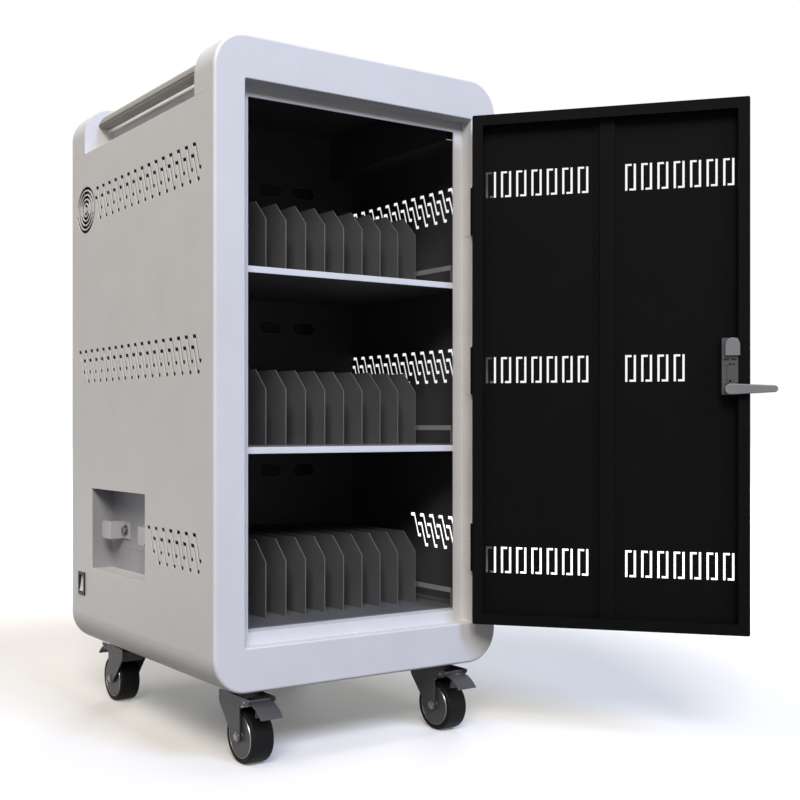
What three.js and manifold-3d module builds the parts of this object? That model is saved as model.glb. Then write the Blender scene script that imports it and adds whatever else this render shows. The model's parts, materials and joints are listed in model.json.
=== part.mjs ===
// Laptop charging cart: three bays of upright slots behind an inset pan door, a charger
// compartment behind a partition with its own rear door, and four braked swivel casters.
// Millimetres, +Z up, +Y towards the rear; the origin is on the floor under the cabinet's middle.
import * as THREE from 'three';
import { mergeVertices } from 'three/addons/utils/BufferGeometryUtils.js';
import Module from 'manifold-3d';

const wasm = await Module();
wasm.setup();

// Cabinet
const BODY_W = 656;
const BODY_D = 682;
const BODY_H = 1186;
const CASTER_H = 138;
const CORNER_R = 66;
const SHEET = 2;
const FRAME_D = 77;
const JAMB = 64;
const HEAD = 81;
const SILL = 82;
const REBATE = 30;
const LEDGE = 22;
const FIT_GAP = 0.3;

// Lid between the frames, and the grip pocket along each of its edges
const LID_DROP = 10;
const GRIP_DROP = 105;
const GRIP_IN = 66;
const NOSE_W = 33;
const NOSE_H = 34;
const NOSE_LIP = 9;
const NOSE_CROWN = 24;
const NOSE_CROWN_DROP = 3;
const NOSE_UNDERCUT = 9;
const GRIP_ROD_R = 5;
const GRIP_ROD_DROP = 2.5;

// Interior
const BAY_RISE = 338;
const UPPER_BAY_RISE = 333;
const SHELF_SETBACK = 4;
const SHELF_LIP = 12;
const CHARGER_D = 172;
const PASS_W = 56;
const PASS_H = 26;
const PASS_DROP = 52;
const SLOT_PITCH = 46;
const FIN_T = 2;
const FIN_H = 150;
const FIN_NOSE = 40;
const FIN_SETBACK = 108;
const RACK_SETBACK = 28;
const RAIL_RISE = 29;
const RAIL_H = 10;
const RAIL_LOW = 12;
const RAIL_OUT = 4;

// Side vents: two staggered rows of Z slots
const VENT_PITCH = 32.6;
const VENT_START = 74;
const VENT_H = 52;
const VENT_LEAN = 15;
const VENT_STROKE = 3.6;
const VENT_TICK_UPPER = 11;
const VENT_TICK_LOWER = 7;
const VENT_TICK_H = 6.5;
const VENT_STAGGER = 7;
const VENT_STEP = 20;
const VENT_MARGIN = 2;
const VENT_END = 34;
const VENT_LOWER_RISE = 182;
const VENT_MIDDLE_RISE = 206;
const VENT_UPPER_DROP = 84;

// Fan
const FAN_FROM_REAR = 84;
const FAN_DROP = 125;
const FAN_RING = 6;
const FAN_WEB = 3.7;
const FAN_RINGS = 5;
const FAN_HOLE_R = 6;
const FAN_BRIDGE = 0.32;
const FAN_FRAME_T = 25;
const FAN_RIM = 3;
const FAN_HUB_R = 16;
const FAN_BLADES = 7;
const FAN_BLADE_T = 2;
const FAN_PITCH = 0.7;

// Cord recess, its hooks and the power inlet
const RECESS_FROM_REAR = 117;
const RECESS_LEN = 274;
const RECESS_RISE = 68;
const RECESS_H = 174;
const RECESS_DEPTH = 50;
const RECESS_VENT_PITCH = 20;
const RECESS_VENT_EDGE = 27;
const RECESS_VENT_R = 2.5;
const RECESS_VENT_RISE = 46;
const HOOK_INSET = 78;
const HOOK_BASE = 35;
const HOOK_T = 4;
const HOOK_OUT = 37;
const HOOK_H = 37;
const HOOK_TONGUE = 34;
const HOOK_CORNER = 10;
const HOOK_BOLT_R = 6;
const HOOK_BOLT_T = 3;
const INLET_RISE = 31;
const INLET_W = 28;
const INLET_H = 48;
const INLET_T = 3;
const INLET_BODY = 22;
const INLET_WALL = 4;

// Rocker switch
const SWITCH_FROM_REAR = 63;
const SWITCH_RISE = 30;
const SWITCH_W = 36;
const SWITCH_H = 50;
const SWITCH_PROUD = 3;
const SWITCH_BODY = 24;
const SWITCH_RIM = 4;
const ROCKER_TILT = THREE.MathUtils.degToRad(7);
const ROCKER_T = 10;
const ROCKER_GAP = 1.6;
const ROCKER_PIN_R = 2;
const ROCKER_HOLLOW = 1.5;

// Power strips on the rear of the partition
const STRIP_END = 5;
const STRIP_H = 46;
const STRIP_T = 38;
const STRIP_RISE = 150;
const SOCKET_W = 28;
const SOCKET_H = 30;
const SOCKET_DEPTH = 12;

// Doors and hinges
const DOOR_GAP = 4;
const DOOR_T = 28;
const DOOR_LIP = 21;
const DOOR_OPEN = THREE.MathUtils.degToRad(132);
const HINGE_OUT = 9;
const HINGE_R = 6.5;
const HINGE_PIN_R = 2.8;
const HINGE_PLAY = 0.4;
const HINGE_L = 96;
const KNUCKLE_L = 33;
const LEAF_T = 1.2;
const LEAF_W = 20;
const HINGE_DROP = 185;
const HINGE_RISE = 150;
const WELD = 1;
const STIFFENER_W = 30;
const STIFFENER_H = 10;
const STIFFENER_FOOT = 10;

// Door vents: cells of two L slots that face each other
const CELL_W = 20;
const CELL_H = 52;
const CELL_PITCH = 30;
const CELL_LINE = 4;
const CELL_TICK = 12;
const CELL_EDGE = 24;
const CELL_GAP = 9;
const CELL_DROP = 109;
const CELL_RISE = 153;
const CELLS_LEFT_FOR_LOCK = 3;

// Lock on the front door
const LOCK_RISE = 54;
const LOCK_W = 29;
const LOCK_H = 107;
const LOCK_INSET = 0.5;
const LOCK_CASE_T = 23;
const LOCK_COVER_T = 3;
const LOCK_BLOCK_W = 27;
const LOCK_BLOCK_H = 34;
const LOCK_BLOCK_T = 8;
const BOSS_R = 4.5;
const BOSS_T = 2.5;
const BOSS_PITCH = 32;
const LEVER_DROP = 97;
const LEVER_REACH = 83;
const LEVER_BOSS_R = 10.5;
const LEVER_TIP_R = 6.5;
const LEVER_T = 6;
const LEVER_LIFT = 10;
const SPINDLE_R = 6;
const SPINDLE_PLAY = 0.5;
const PLATE_W = 40;
const PLATE_H = 160;
const PLATE_T = 4;
const HANDLE_L = 120;
const HANDLE_W = 20;
const HANDLE_T = 12;
const HANDLE_OUT = 30;
const KEY_R = 9;
const KEY_OUT = 4;
const KEY_SLOT_W = 2.5;
const KEY_SLOT_L = 10;
const KEY_RISE = 76;

// Rear cam lock
const CAM_INSET = 46;
const CAM_HEAD_R = 13;
const CAM_HEAD_T = 6;
const CAM_REACH = 58;
const CAM_W = 18;
const CAM_T = 3;
const CAM_GAP = 1.2;

// Casters
const WHEEL_R = 50;
const WHEEL_W = 46;
const WHEEL_SIDES = 18;
const TREAD_SHOULDER = 6;
const HUB_R = 38;
const HUB_DISH = 1.5;
const HUB_BOSS_R = 13;
const AXLE_R = 5;
const AXLE_PLAY = 0.5;
const TRAIL = 32;
const CASTER_SIDE_GAP = 2;
const CASTER_INSET = 80;
const CASTER_PLATE_W = 66;
const CASTER_PLATE_L = 95;
const CASTER_PLATE_T = 4;
const RACE_R = 27;
const RACE_T = 7;
const RACE_GAP = 1;
const KINGPIN_R = 6;
const CROWN_T = 10;
const FORK_IN = 26;
const FORK_T = 3;
const LEG_BACK = 37;
const LEG_SKIRT = 22;
const LEG_KNEE_BACK = 32;
const LEG_KNEE_RISE = 12;
const LEG_FOOT = 10;
const ARM_R = 7;
const ARM_REACH = 15;
const BOLT_R = 6;
const BOLT_T = 5;
const BOLT_INSET = 10;
const AXLE_HEAD_R = 7;
const AXLE_HEAD_T = 4;
const PEDAL_PIN_R = 2.5;
const PEDAL_PIN_AHEAD = 30;
const PEDAL_PIN_OUT = 2;
const PEDAL_T = 3;
const PEDAL_R = 64;
const PEDAL_FROM = -0.06;
const PEDAL_TO = 0.88;
const PEDAL_SIDE = 3;
const SHOE_GAP = 6;
const SHOE_AT = 0.77;
const SHOE_ROOT = 0.26;
const SHOE_W = 24;
const SHOE_T = 5;

// Worked out from the sizes above
const HALF_W = BODY_W / 2;
const INSIDE = HALF_W - SHEET;
const FRONT = -BODY_D / 2;
const Z_BOTTOM = CASTER_H;
const Z_TOP = Z_BOTTOM + BODY_H;
const Z_ROLL = Z_BOTTOM + CORNER_R;
const Z_LID = Z_TOP - LID_DROP;
const Z_NOTCH = Z_TOP - GRIP_DROP;
const OPEN_HALF = HALF_W - JAMB;
const OPEN_LOW = Z_BOTTOM + SILL;
const OPEN_HIGH = Z_TOP - HEAD;
const MID_FROM = FRONT + FRAME_D;
const MID_TO = -MID_FROM;
const REAR = BODY_D / 2;
const PARTITION_Y = REAR - CHARGER_D;
const SHELF_Y = FRONT + REBATE + SHELF_SETBACK;
const SLOTS = Math.floor(2 * (OPEN_HALF - LEDGE) / SLOT_PITCH);
const FLOOR_Z = OPEN_LOW + LEDGE;
const SHELF_ZS = [FLOOR_Z, FLOOR_Z + BAY_RISE, FLOOR_Z + BAY_RISE + UPPER_BAY_RISE];
const POCKET_WALL = HALF_W - GRIP_IN;
const FAN_Y = REAR - FAN_FROM_REAR;
const FAN_Z = Z_NOTCH - FAN_DROP;
const FAN_R = FAN_HOLE_R + FAN_RINGS * FAN_RING + (FAN_RINGS - 1) * FAN_WEB;
const RECESS_TO = REAR - RECESS_FROM_REAR;
const RECESS_FROM = RECESS_TO - RECESS_LEN;
const RECESS_Z = FLOOR_Z + RECESS_RISE;
const RECESS_MID = RECESS_Z + RECESS_H / 2;
const RECESS_BACK = -HALF_W + RECESS_DEPTH;
const SWITCH_Y = REAR - SWITCH_FROM_REAR;
const SWITCH_Z = FLOOR_Z + SWITCH_RISE;
const DOOR_W = 2 * (OPEN_HALF - DOOR_GAP);
const DOOR_H = OPEN_HIGH - OPEN_LOW - 2 * DOOR_GAP;
const DOOR_LOW = OPEN_LOW + DOOR_GAP;
const DOOR_HIGH = DOOR_LOW + DOOR_H;
const DOOR_MID = (DOOR_LOW + DOOR_HIGH) / 2;
const HINGE_ZS = [DOOR_HIGH - HINGE_DROP, DOOR_MID, DOOR_LOW + HINGE_RISE];
const HINGE_X = OPEN_HALF - DOOR_GAP / 2;
const HINGE_Y = FRONT - HINGE_OUT;
const DOOR_EDGE = -DOOR_GAP / 2;
const DOOR_FREE = DOOR_EDGE - DOOR_W;
const DOOR_OUTER = HINGE_OUT;
const DOOR_INNER = HINGE_OUT + DOOR_T;

// Shapes

function outline(points) {
  return new THREE.Shape(points.map(([a, b]) => new THREE.Vector2(a, b)));
}

function rectangle(a0, b0, a1, b1) {
  return outline([[a0, b0], [a1, b0], [a1, b1], [a0, b1]]);
}

function disc(a, b, radius, sides = 12) {
  const points = [];
  for (let i = 0; i < sides; i += 1) {
    const angle = (2 * Math.PI * i) / sides;
    points.push([a + radius * Math.cos(angle), b + radius * Math.sin(angle)]);
  }
  return outline(points);
}

function roundedRectangle(a0, b0, a1, b1, radius) {
  const shape = new THREE.Shape();
  shape.moveTo(a0 + radius, b0);
  shape.lineTo(a1 - radius, b0);
  shape.absarc(a1 - radius, b0 + radius, radius, -Math.PI / 2, 0);
  shape.lineTo(a1, b1 - radius);
  shape.absarc(a1 - radius, b1 - radius, radius, 0, Math.PI / 2);
  shape.lineTo(a0 + radius, b1);
  shape.absarc(a0 + radius, b1 - radius, radius, Math.PI / 2, Math.PI);
  shape.lineTo(a0, b0 + radius);
  shape.absarc(a0 + radius, b0 + radius, radius, Math.PI, 1.5 * Math.PI);
  return shape;
}

// A long slot with its corners cut off, its length along the first axis
function cutSlot(a, b, length, height) {
  const half = length / 2;
  const cut = height / 3;
  const flat = height / 2 - cut;
  return outline([
    [a - half + cut, b - height / 2], [a + half - cut, b - height / 2],
    [a + half, b - flat], [a + half, b + flat],
    [a + half - cut, b + height / 2], [a - half + cut, b + height / 2],
    [a - half, b + flat], [a - half, b - flat]]);
}

// A ring with one bridge left across it at the angle given
function openRing(a, b, inner, outer, bridgeAt, sides = 11) {
  const from = bridgeAt + FAN_BRIDGE * (FAN_R / outer) ** 0.5;
  const span = 2 * Math.PI - 2 * (from - bridgeAt);
  const points = [];
  for (let i = 0; i <= sides; i += 1) {
    const angle = from + (span * i) / sides;
    points.push([a + outer * Math.cos(angle), b + outer * Math.sin(angle)]);
  }
  for (let i = sides; i >= 0; i -= 1) {
    const angle = from + (span * i) / sides;
    points.push([a + inner * Math.cos(angle), b + inner * Math.sin(angle)]);
  }
  return outline(points);
}

// Solids

const ALONG_X = new THREE.Matrix4().makeBasis(
  new THREE.Vector3(0, 1, 0), new THREE.Vector3(0, 0, 1), new THREE.Vector3(1, 0, 0));
const ALONG_Y = new THREE.Matrix4().makeBasis(
  new THREE.Vector3(1, 0, 0), new THREE.Vector3(0, 0, 1), new THREE.Vector3(0, -1, 0));

function toSolid(geometry) {
  geometry.deleteAttribute('normal');
  geometry.deleteAttribute('uv');
  const merged = mergeVertices(geometry, 1e-4);
  return new wasm.Manifold(new wasm.Mesh({
    numProp: 3,
    vertProperties: new Float32Array(merged.attributes.position.array),
    triVerts: new Uint32Array(merged.index.array),
  }));
}

// A shape, or a list of shapes, pushed along x (drawn in y, z), y (drawn in x, z) or z (drawn in x, y)
function prism(shape, axis, from, to, curveSegments = 4) {
  const depth = to - from;
  const geometry = new THREE.ExtrudeGeometry(shape, { depth, bevelEnabled: false, curveSegments });
  if (axis === 'x') geometry.applyMatrix4(ALONG_X).translate(from, 0, 0);
  if (axis === 'y') geometry.applyMatrix4(ALONG_Y).translate(0, to, 0);
  if (axis === 'z') geometry.translate(0, 0, from);
  return toSolid(geometry);
}

function box(x0, x1, y0, y1, z0, z1) {
  const geometry = new THREE.BoxGeometry(x1 - x0, y1 - y0, z1 - z0);
  geometry.translate((x0 + x1) / 2, (y0 + y1) / 2, (z0 + z1) / 2);
  return toSolid(geometry);
}

function joined(solids) {
  return solids.reduce((whole, next) => whole.add(next));
}

function toGeometry(manifold) {
  const mesh = manifold.getMesh();
  const geometry = new THREE.BufferGeometry();
  geometry.setAttribute('position', new THREE.BufferAttribute(mesh.vertProperties, 3));
  geometry.setIndex(new THREE.BufferAttribute(mesh.triVerts, 1));
  geometry.computeVertexNormals();
  return geometry;
}

// Finishes, as colour, roughness and metalness

const PAINT = ['#c9cad0', 0.45, 0.1];
const INNER_PAINT = ['#54555a', 0.6, 0.1];
const LIP_PAINT = ['#d6d7dc', 0.45, 0.1];
const BLACK_PAINT = ['#18181a', 0.5, 0.1];
const GRIP = ['#85837d', 0.6, 0];
const STEEL = ['#c8c8c8', 0.25, 1];
const ZINC = ['#77787c', 0.45, 0.7];
const CAST = ['#8a8c90', 0.4, 0.6];
const BLACK_PLASTIC = ['#1c1c1e', 0.5, 0];
const LIGHT_PLASTIC = ['#e2e2e0', 0.4, 0];
const TYRE = ['#1d1d1f', 0.7, 0];

function addPart(group, name, manifold, [color, roughness, metalness]) {
  const material = new THREE.MeshStandardMaterial({ color, roughness, metalness });
  const mesh = new THREE.Mesh(toGeometry(manifold), material);
  mesh.name = name;
  group.add(mesh);
}

const cart = new THREE.Group();

// Front and rear frames: a folded face, a rebate for the door and a ledge behind it

function frameSolid() {
  const back = FRONT + FRAME_D;
  const skin = FRONT + SHEET;
  const wide = HALF_W + JAMB;
  const body = prism(roundedRectangle(-HALF_W, Z_BOTTOM, HALF_W, Z_TOP, CORNER_R), 'y', FRONT, back, 6);
  const hollow = prism(
    roundedRectangle(-INSIDE, Z_BOTTOM + SHEET, INSIDE, Z_TOP - SHEET, CORNER_R - SHEET),
    'y', skin, back + 1, 6);
  const sides = box(-wide, wide, skin, back + 1, Z_ROLL, Z_NOTCH);
  const lining = prism(rectangle(
    -OPEN_HALF - SHEET, OPEN_LOW - SHEET, OPEN_HALF + SHEET, OPEN_HIGH + SHEET),
  'y', FRONT - 1, FRONT + REBATE + SHEET);
  const rebate = prism(
    rectangle(-OPEN_HALF, OPEN_LOW, OPEN_HALF, OPEN_HIGH), 'y', FRONT - 1, FRONT + REBATE);
  const through = prism(rectangle(
    -OPEN_HALF + LEDGE, OPEN_LOW + LEDGE, OPEN_HALF - LEDGE, OPEN_HIGH - LEDGE), 'y', FRONT - 1, back + 1);
  const edges = [-1, 1].map((side) => box(
    Math.min(side * INSIDE, side * wide), Math.max(side * INSIDE, side * wide),
    FRONT - 1, back + 1, Z_ROLL, Z_NOTCH));
  const cheeks = [-1, 1].map((side) => {
    const near = side * (POCKET_WALL - SHEET);
    const far = side * wide;
    return box(Math.min(near, far), Math.max(near, far), back - SHEET, back + SHEET, Z_NOTCH, Z_TOP);
  });
  cheeks.push(box(-wide, wide, back - SHEET, back + SHEET, Z_LID - SHEET, Z_TOP));
  const open = hollow.add(sides).subtract(lining).subtract(joined(cheeks));
  return body.subtract(open).subtract(rebate).subtract(through).subtract(joined(edges));
}

function addFrames() {
  addPart(cart, 'front_frame', frameSolid(), PAINT);
  const turned = new THREE.Group();
  turned.rotation.z = Math.PI;
  cart.add(turned);
  const leaves = joined(HINGE_ZS.map((z) => frameLeafSolid(z, WELD)));
  addPart(turned, 'rear_frame', frameSolid().add(leaves.translate([HINGE_X, HINGE_Y, 0])), PAINT);
}

// Side panels

function zSlot(y, z) {
  const end = VENT_LEAN + VENT_STROKE;
  const low = VENT_TICK_H - VENT_H;
  const points = [
    [-VENT_TICK_UPPER, 0], [VENT_STROKE, 0], [end, low], [end + VENT_TICK_LOWER, low],
    [end + VENT_TICK_LOWER, -VENT_H], [VENT_LEAN, -VENT_H],
    [0, -VENT_TICK_H], [-VENT_TICK_UPPER, -VENT_TICK_H]];
  return outline(points.map(([a, b]) => [y - a, z + b]));
}

// Columns of slots from the front, as many as end short of the limit given
function ventRows(topZ, limitY) {
  const slots = [];
  const last = limitY - VENT_MARGIN - VENT_TICK_UPPER - VENT_STAGGER;
  for (let y = FRONT + VENT_START; y <= last; y += VENT_PITCH) {
    slots.push(zSlot(y, topZ));
    slots.push(zSlot(y + VENT_STAGGER, topZ - VENT_STEP));
  }
  return slots;
}

function fanSlots() {
  const slots = [];
  for (let i = 0; i < FAN_RINGS; i += 1) {
    const inner = FAN_HOLE_R + i * (FAN_RING + FAN_WEB);
    const bridgeAt = i % 2 ? -Math.PI / 2 : Math.PI / 2;
    slots.push(openRing(FAN_Y, FAN_Z, inner, inner + FAN_RING, bridgeAt));
  }
  return slots;
}

function sidePanelSolid(side, slots) {
  const low = Math.min(side * HALF_W, side * INSIDE);
  const high = Math.max(side * HALF_W, side * INSIDE);
  return box(low, high, FRONT, REAR, Z_ROLL, Z_NOTCH).subtract(prism(slots, 'x', low - 1, high + 1));
}

function addSidePanels() {
  const recess = rectangle(RECESS_FROM, RECESS_Z, RECESS_TO, RECESS_Z + RECESS_H);
  const switchHalfW = SWITCH_W / 2 - SWITCH_RIM + FIT_GAP;
  const switchHalfH = SWITCH_H / 2 - SWITCH_RIM + FIT_GAP;
  const switchHole = rectangle(
    SWITCH_Y - switchHalfW, SWITCH_Z - switchHalfH, SWITCH_Y + switchHalfW, SWITCH_Z + switchHalfH);
  const vents = [
    ...ventRows(Z_NOTCH - VENT_UPPER_DROP, FAN_Y - FAN_R),
    ...ventRows(SHELF_ZS[1] + VENT_MIDDLE_RISE, REAR - VENT_END),
    ...ventRows(SHELF_ZS[0] + VENT_LOWER_RISE, RECESS_FROM - SHEET)];
  addPart(cart, 'left_side_panel', sidePanelSolid(-1, [...vents, ...fanSlots(), recess, switchHole]), PAINT);
  addPart(cart, 'right_side_panel', sidePanelSolid(1, vents), PAINT);
}

// Base pan with rolled edges, and the top panel that also closes the grip pockets

function baseSolid() {
  const shape = new THREE.Shape();
  const inner = CORNER_R - SHEET;
  const flat = HALF_W - CORNER_R;
  shape.moveTo(-HALF_W, Z_ROLL);
  shape.absarc(-flat, Z_ROLL, CORNER_R, Math.PI, 1.5 * Math.PI);
  shape.lineTo(flat, Z_BOTTOM);
  shape.absarc(flat, Z_ROLL, CORNER_R, 1.5 * Math.PI, 2 * Math.PI);
  shape.lineTo(INSIDE, Z_ROLL);
  shape.absarc(flat, Z_ROLL, inner, 2 * Math.PI, 1.5 * Math.PI, true);
  shape.lineTo(-flat, Z_BOTTOM + SHEET);
  shape.absarc(-flat, Z_ROLL, inner, 1.5 * Math.PI, Math.PI, true);
  return prism(shape, 'y', MID_FROM, MID_TO, 8);
}

// The top in section: a channel turned over, with the floor of a grip pocket folded out at each foot
function topSolid() {
  const half = [
    [INSIDE, Z_NOTCH], [POCKET_WALL, Z_NOTCH], [POCKET_WALL, Z_LID]];
  const under = [
    [POCKET_WALL - SHEET, Z_LID - SHEET], [POCKET_WALL - SHEET, Z_NOTCH - SHEET], [INSIDE, Z_NOTCH - SHEET]];
  const mirror = (points) => points.map(([x, z]) => [-x, z]).reverse();
  return prism(outline([...half, ...mirror(half), ...mirror(under), ...under]), 'y', MID_FROM, MID_TO);
}

// The grip's nose in section: a rounded top, a short drop and an underside cut up behind its lower edge
function noseSolid(side) {
  const shape = new THREE.Shape();
  const tip = POCKET_WALL + NOSE_W;
  const low = Z_LID - NOSE_H;
  shape.moveTo(side * POCKET_WALL, Z_LID);
  shape.quadraticCurveTo(
    side * (POCKET_WALL + NOSE_CROWN), Z_LID - NOSE_CROWN_DROP, side * tip, low + NOSE_LIP);
  shape.lineTo(side * (tip - NOSE_LIP / 3), low);
  shape.lineTo(side * POCKET_WALL, low + NOSE_UNDERCUT);
  return prism(shape, 'y', MID_FROM, MID_TO, 8);
}

function addShell() {
  addPart(cart, 'base_pan', baseSolid(), PAINT);
  addPart(cart, 'top_panel', topSolid(), PAINT);
  const rodX = POCKET_WALL + GRIP_ROD_R + FIT_GAP;
  const rodZ = Z_LID - NOSE_H - GRIP_ROD_DROP;
  for (const [label, side] of [['left', -1], ['right', 1]]) {
    addPart(cart, `${label}_grip_bar`, noseSolid(side), GRIP);
    const rod = prism(disc(side * rodX, rodZ, GRIP_ROD_R), 'y', MID_FROM, MID_TO);
    addPart(cart, `${label}_grip_rod`, rod, STEEL);
  }
}

// Partition, bay floor and shelves

function partitionSolid() {
  const high = POCKET_WALL - SHEET;
  const foot = Z_ROLL + SHEET;
  const shoulder = Z_NOTCH - 2 * SHEET;
  const plate = outline([
    [-INSIDE, foot], [INSIDE, foot], [INSIDE, shoulder], [high, shoulder],
    [high, Z_LID - 2 * SHEET], [-high, Z_LID - 2 * SHEET], [-high, shoulder], [-INSIDE, shoulder]]);
  const passes = [];
  SHELF_ZS.forEach((z, bay) => {
    const ceiling = bay < 2 ? SHELF_ZS[bay + 1] - SHELF_LIP : OPEN_HIGH - LEDGE;
    for (let slot = 0; slot + 1 < SLOTS; slot += 2) {
      passes.push(cutSlot((slot + 1 - SLOTS / 2) * SLOT_PITCH, ceiling - PASS_DROP, PASS_W, PASS_H));
    }
  });
  const recessTop = RECESS_Z + RECESS_H + SHEET + FIT_GAP;
  const recess = box(-HALF_W, -HALF_W + RECESS_DEPTH + SHEET + FIT_GAP,
    PARTITION_Y - 1, PARTITION_Y + SHEET + 1, RECESS_Z - SHEET - FIT_GAP, recessTop);
  return prism(plate, 'y', PARTITION_Y, PARTITION_Y + SHEET)
    .subtract(prism(passes, 'y', PARTITION_Y - 1, PARTITION_Y + SHEET + 1, 4))
    .subtract(recess);
}

function shelfSolid(topZ) {
  return joined([
    box(-INSIDE, INSIDE, SHELF_Y, PARTITION_Y, topZ - SHEET, topZ),
    box(-INSIDE, INSIDE, SHELF_Y, SHELF_Y + SHEET, topZ - SHELF_LIP, topZ)]);
}

// A rack per bay: a tray with upright dividers, and a guide rail at each end
function rackSolid(topZ) {
  const front = SHELF_Y + RACK_SETBACK;
  const rear = PARTITION_Y - RAIL_OUT;
  const tray = topZ + SHEET;
  const end = INSIDE - RAIL_OUT;
  const railX = OPEN_HALF;
  const pieces = [box(-end, end, front, rear, topZ, tray)];
  const finFront = front + FIN_SETBACK - RACK_SETBACK;
  for (let i = 0; i <= SLOTS; i += 1) {
    const x = (i - SLOTS / 2) * SLOT_PITCH;
    const fin = outline([
      [finFront, topZ], [rear, topZ], [rear, tray + FIN_H], [finFront + FIN_NOSE, tray + FIN_H],
      [finFront, tray + FIN_H - FIN_NOSE]]);
    pieces.push(prism(fin, 'x', x - FIN_T / 2, x + FIN_T / 2));
  }
  for (const side of [-1, 1]) {
    const low = Math.min(side * railX, side * (railX - SHEET));
    const high = Math.max(side * railX, side * (railX - SHEET));
    pieces.push(box(low, high, front, rear, tray + RAIL_RISE, tray + RAIL_RISE + RAIL_H));
    const plate = outline([
      [side * (railX - SHEET), topZ], [side * end, topZ], [side * end, tray + RAIL_LOW],
      [side * railX, tray + RAIL_RISE + RAIL_H], [side * (railX - SHEET), tray + RAIL_RISE + RAIL_H]]);
    pieces.push(prism(plate, 'y', front, front + SHEET));
    pieces.push(prism(plate, 'y', rear - SHEET, rear));
  }
  return joined(pieces);
}

function addInterior() {
  addPart(cart, 'partition_panel', partitionSolid(), INNER_PAINT);
  ['bay_floor', 'lower_shelf', 'upper_shelf'].forEach((name, bay) => {
    addPart(cart, name, shelfSolid(SHELF_ZS[bay]), LIP_PAINT);
  });
  ['lower_rack', 'middle_rack', 'upper_rack'].forEach((name, bay) => {
    addPart(cart, name, rackSolid(SHELF_ZS[bay]), INNER_PAINT);
  });
}

// Power strips with one socket for each slot

function stripSolid(z) {
  const half = SLOTS * SLOT_PITCH / 2 + STRIP_END;
  const front = PARTITION_Y + SHEET;
  const rear = front + STRIP_T;
  const sockets = [];
  for (let i = 0; i < SLOTS; i += 1) {
    const x = (i - (SLOTS - 1) / 2) * SLOT_PITCH;
    sockets.push(rectangle(x - SOCKET_W / 2, z - SOCKET_H / 2, x + SOCKET_W / 2, z + SOCKET_H / 2));
  }
  return box(-half, half, front, rear, z - STRIP_H / 2, z + STRIP_H / 2)
    .subtract(prism(sockets, 'y', rear - SOCKET_DEPTH, rear + 1));
}

function addPowerStrips() {
  ['lower', 'middle', 'upper'].forEach((label, bay) => {
    addPart(cart, `power_strip_${label}`, stripSolid(SHELF_ZS[bay] + STRIP_RISE), BLACK_PLASTIC);
  });
}

// Cord recess: an open box behind the left panel, with two hooks and the power inlet

const INLET_X = (-HALF_W + RECESS_BACK) / 2;
const INLET_Z = RECESS_Z + INLET_RISE;

function recessSolid() {
  const outer = box(-INSIDE, RECESS_BACK + SHEET,
    RECESS_FROM - SHEET, RECESS_TO + SHEET, RECESS_Z - SHEET, RECESS_Z + RECESS_H + SHEET);
  const inner = box(-HALF_W - 1, RECESS_BACK, RECESS_FROM, RECESS_TO, RECESS_Z, RECESS_Z + RECESS_H);
  const vents = [];
  for (let y = RECESS_FROM + RECESS_VENT_EDGE; y <= RECESS_TO - RECESS_VENT_EDGE; y += RECESS_VENT_PITCH) {
    vents.push(disc(y, RECESS_Z + RECESS_VENT_RISE, RECESS_VENT_R, 6));
  }
  const inletHole = box(
    INLET_X - INLET_W / 2 + INLET_WALL - FIT_GAP, INLET_X + INLET_W / 2 - INLET_WALL + FIT_GAP,
    RECESS_FROM - SHEET - 1, RECESS_FROM + 1,
    INLET_Z - INLET_H / 2 + INLET_WALL - FIT_GAP, INLET_Z + INLET_H / 2 - INLET_WALL + FIT_GAP);
  return outer.subtract(inner)
    .subtract(prism(vents, 'x', RECESS_BACK - 1, RECESS_BACK + SHEET + 1))
    .subtract(inletHole);
}

// A hook: a bolted base on the back wall, an arm that stands out and a tongue that keeps the cord on;
// away is +1 where the tongue points to the rear and -1 where it points to the front
function hookSolid(y, away) {
  const half = HOOK_BASE / 2;
  const face = RECESS_BACK - HOOK_OUT;
  const root = half - HOOK_T;
  const tip = half + HOOK_TONGUE;
  const low = RECESS_MID - HOOK_H / 2;
  const high = RECESS_MID + HOOK_H / 2;
  const tongue = outline([
    [root, low], [tip - HOOK_CORNER, low], [tip - HOOK_CORNER / 4, low + HOOK_CORNER / 4],
    [tip, low + HOOK_CORNER], [tip, high - HOOK_CORNER], [tip - HOOK_CORNER / 4, high - HOOK_CORNER / 4],
    [tip - HOOK_CORNER, high], [root, high]].map(([a, b]) => [y + away * a, b]));
  const near = y + away * root;
  const far = y + away * half;
  return joined([
    box(RECESS_BACK - HOOK_T, RECESS_BACK, y - half, y + half, RECESS_MID - half, RECESS_MID + half),
    box(face, RECESS_BACK - 1, Math.min(near, far), Math.max(near, far), low, high),
    prism(tongue, 'x', face, face + HOOK_T),
    prism(disc(y, RECESS_MID, HOOK_BOLT_R, 6), 'x', RECESS_BACK - HOOK_T - HOOK_BOLT_T, RECESS_BACK - 1)]);
}

function inletSolid() {
  const face = RECESS_FROM + INLET_T;
  const halfW = INLET_W / 2;
  const halfH = INLET_H / 2;
  const wall = INLET_WALL;
  return joined([
    box(INLET_X - halfW, INLET_X + halfW, RECESS_FROM, face, INLET_Z - halfH, INLET_Z + halfH),
    box(INLET_X - halfW + wall, INLET_X + halfW - wall, RECESS_FROM - INLET_BODY, face,
      INLET_Z - halfH + wall, INLET_Z + halfH - wall)])
    .subtract(box(INLET_X - halfW + 2 * wall, INLET_X + halfW - 2 * wall,
      RECESS_FROM - INLET_BODY + wall, face + 1,
      INLET_Z - halfH + 2 * wall, INLET_Z + halfH - 2 * wall));
}

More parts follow.
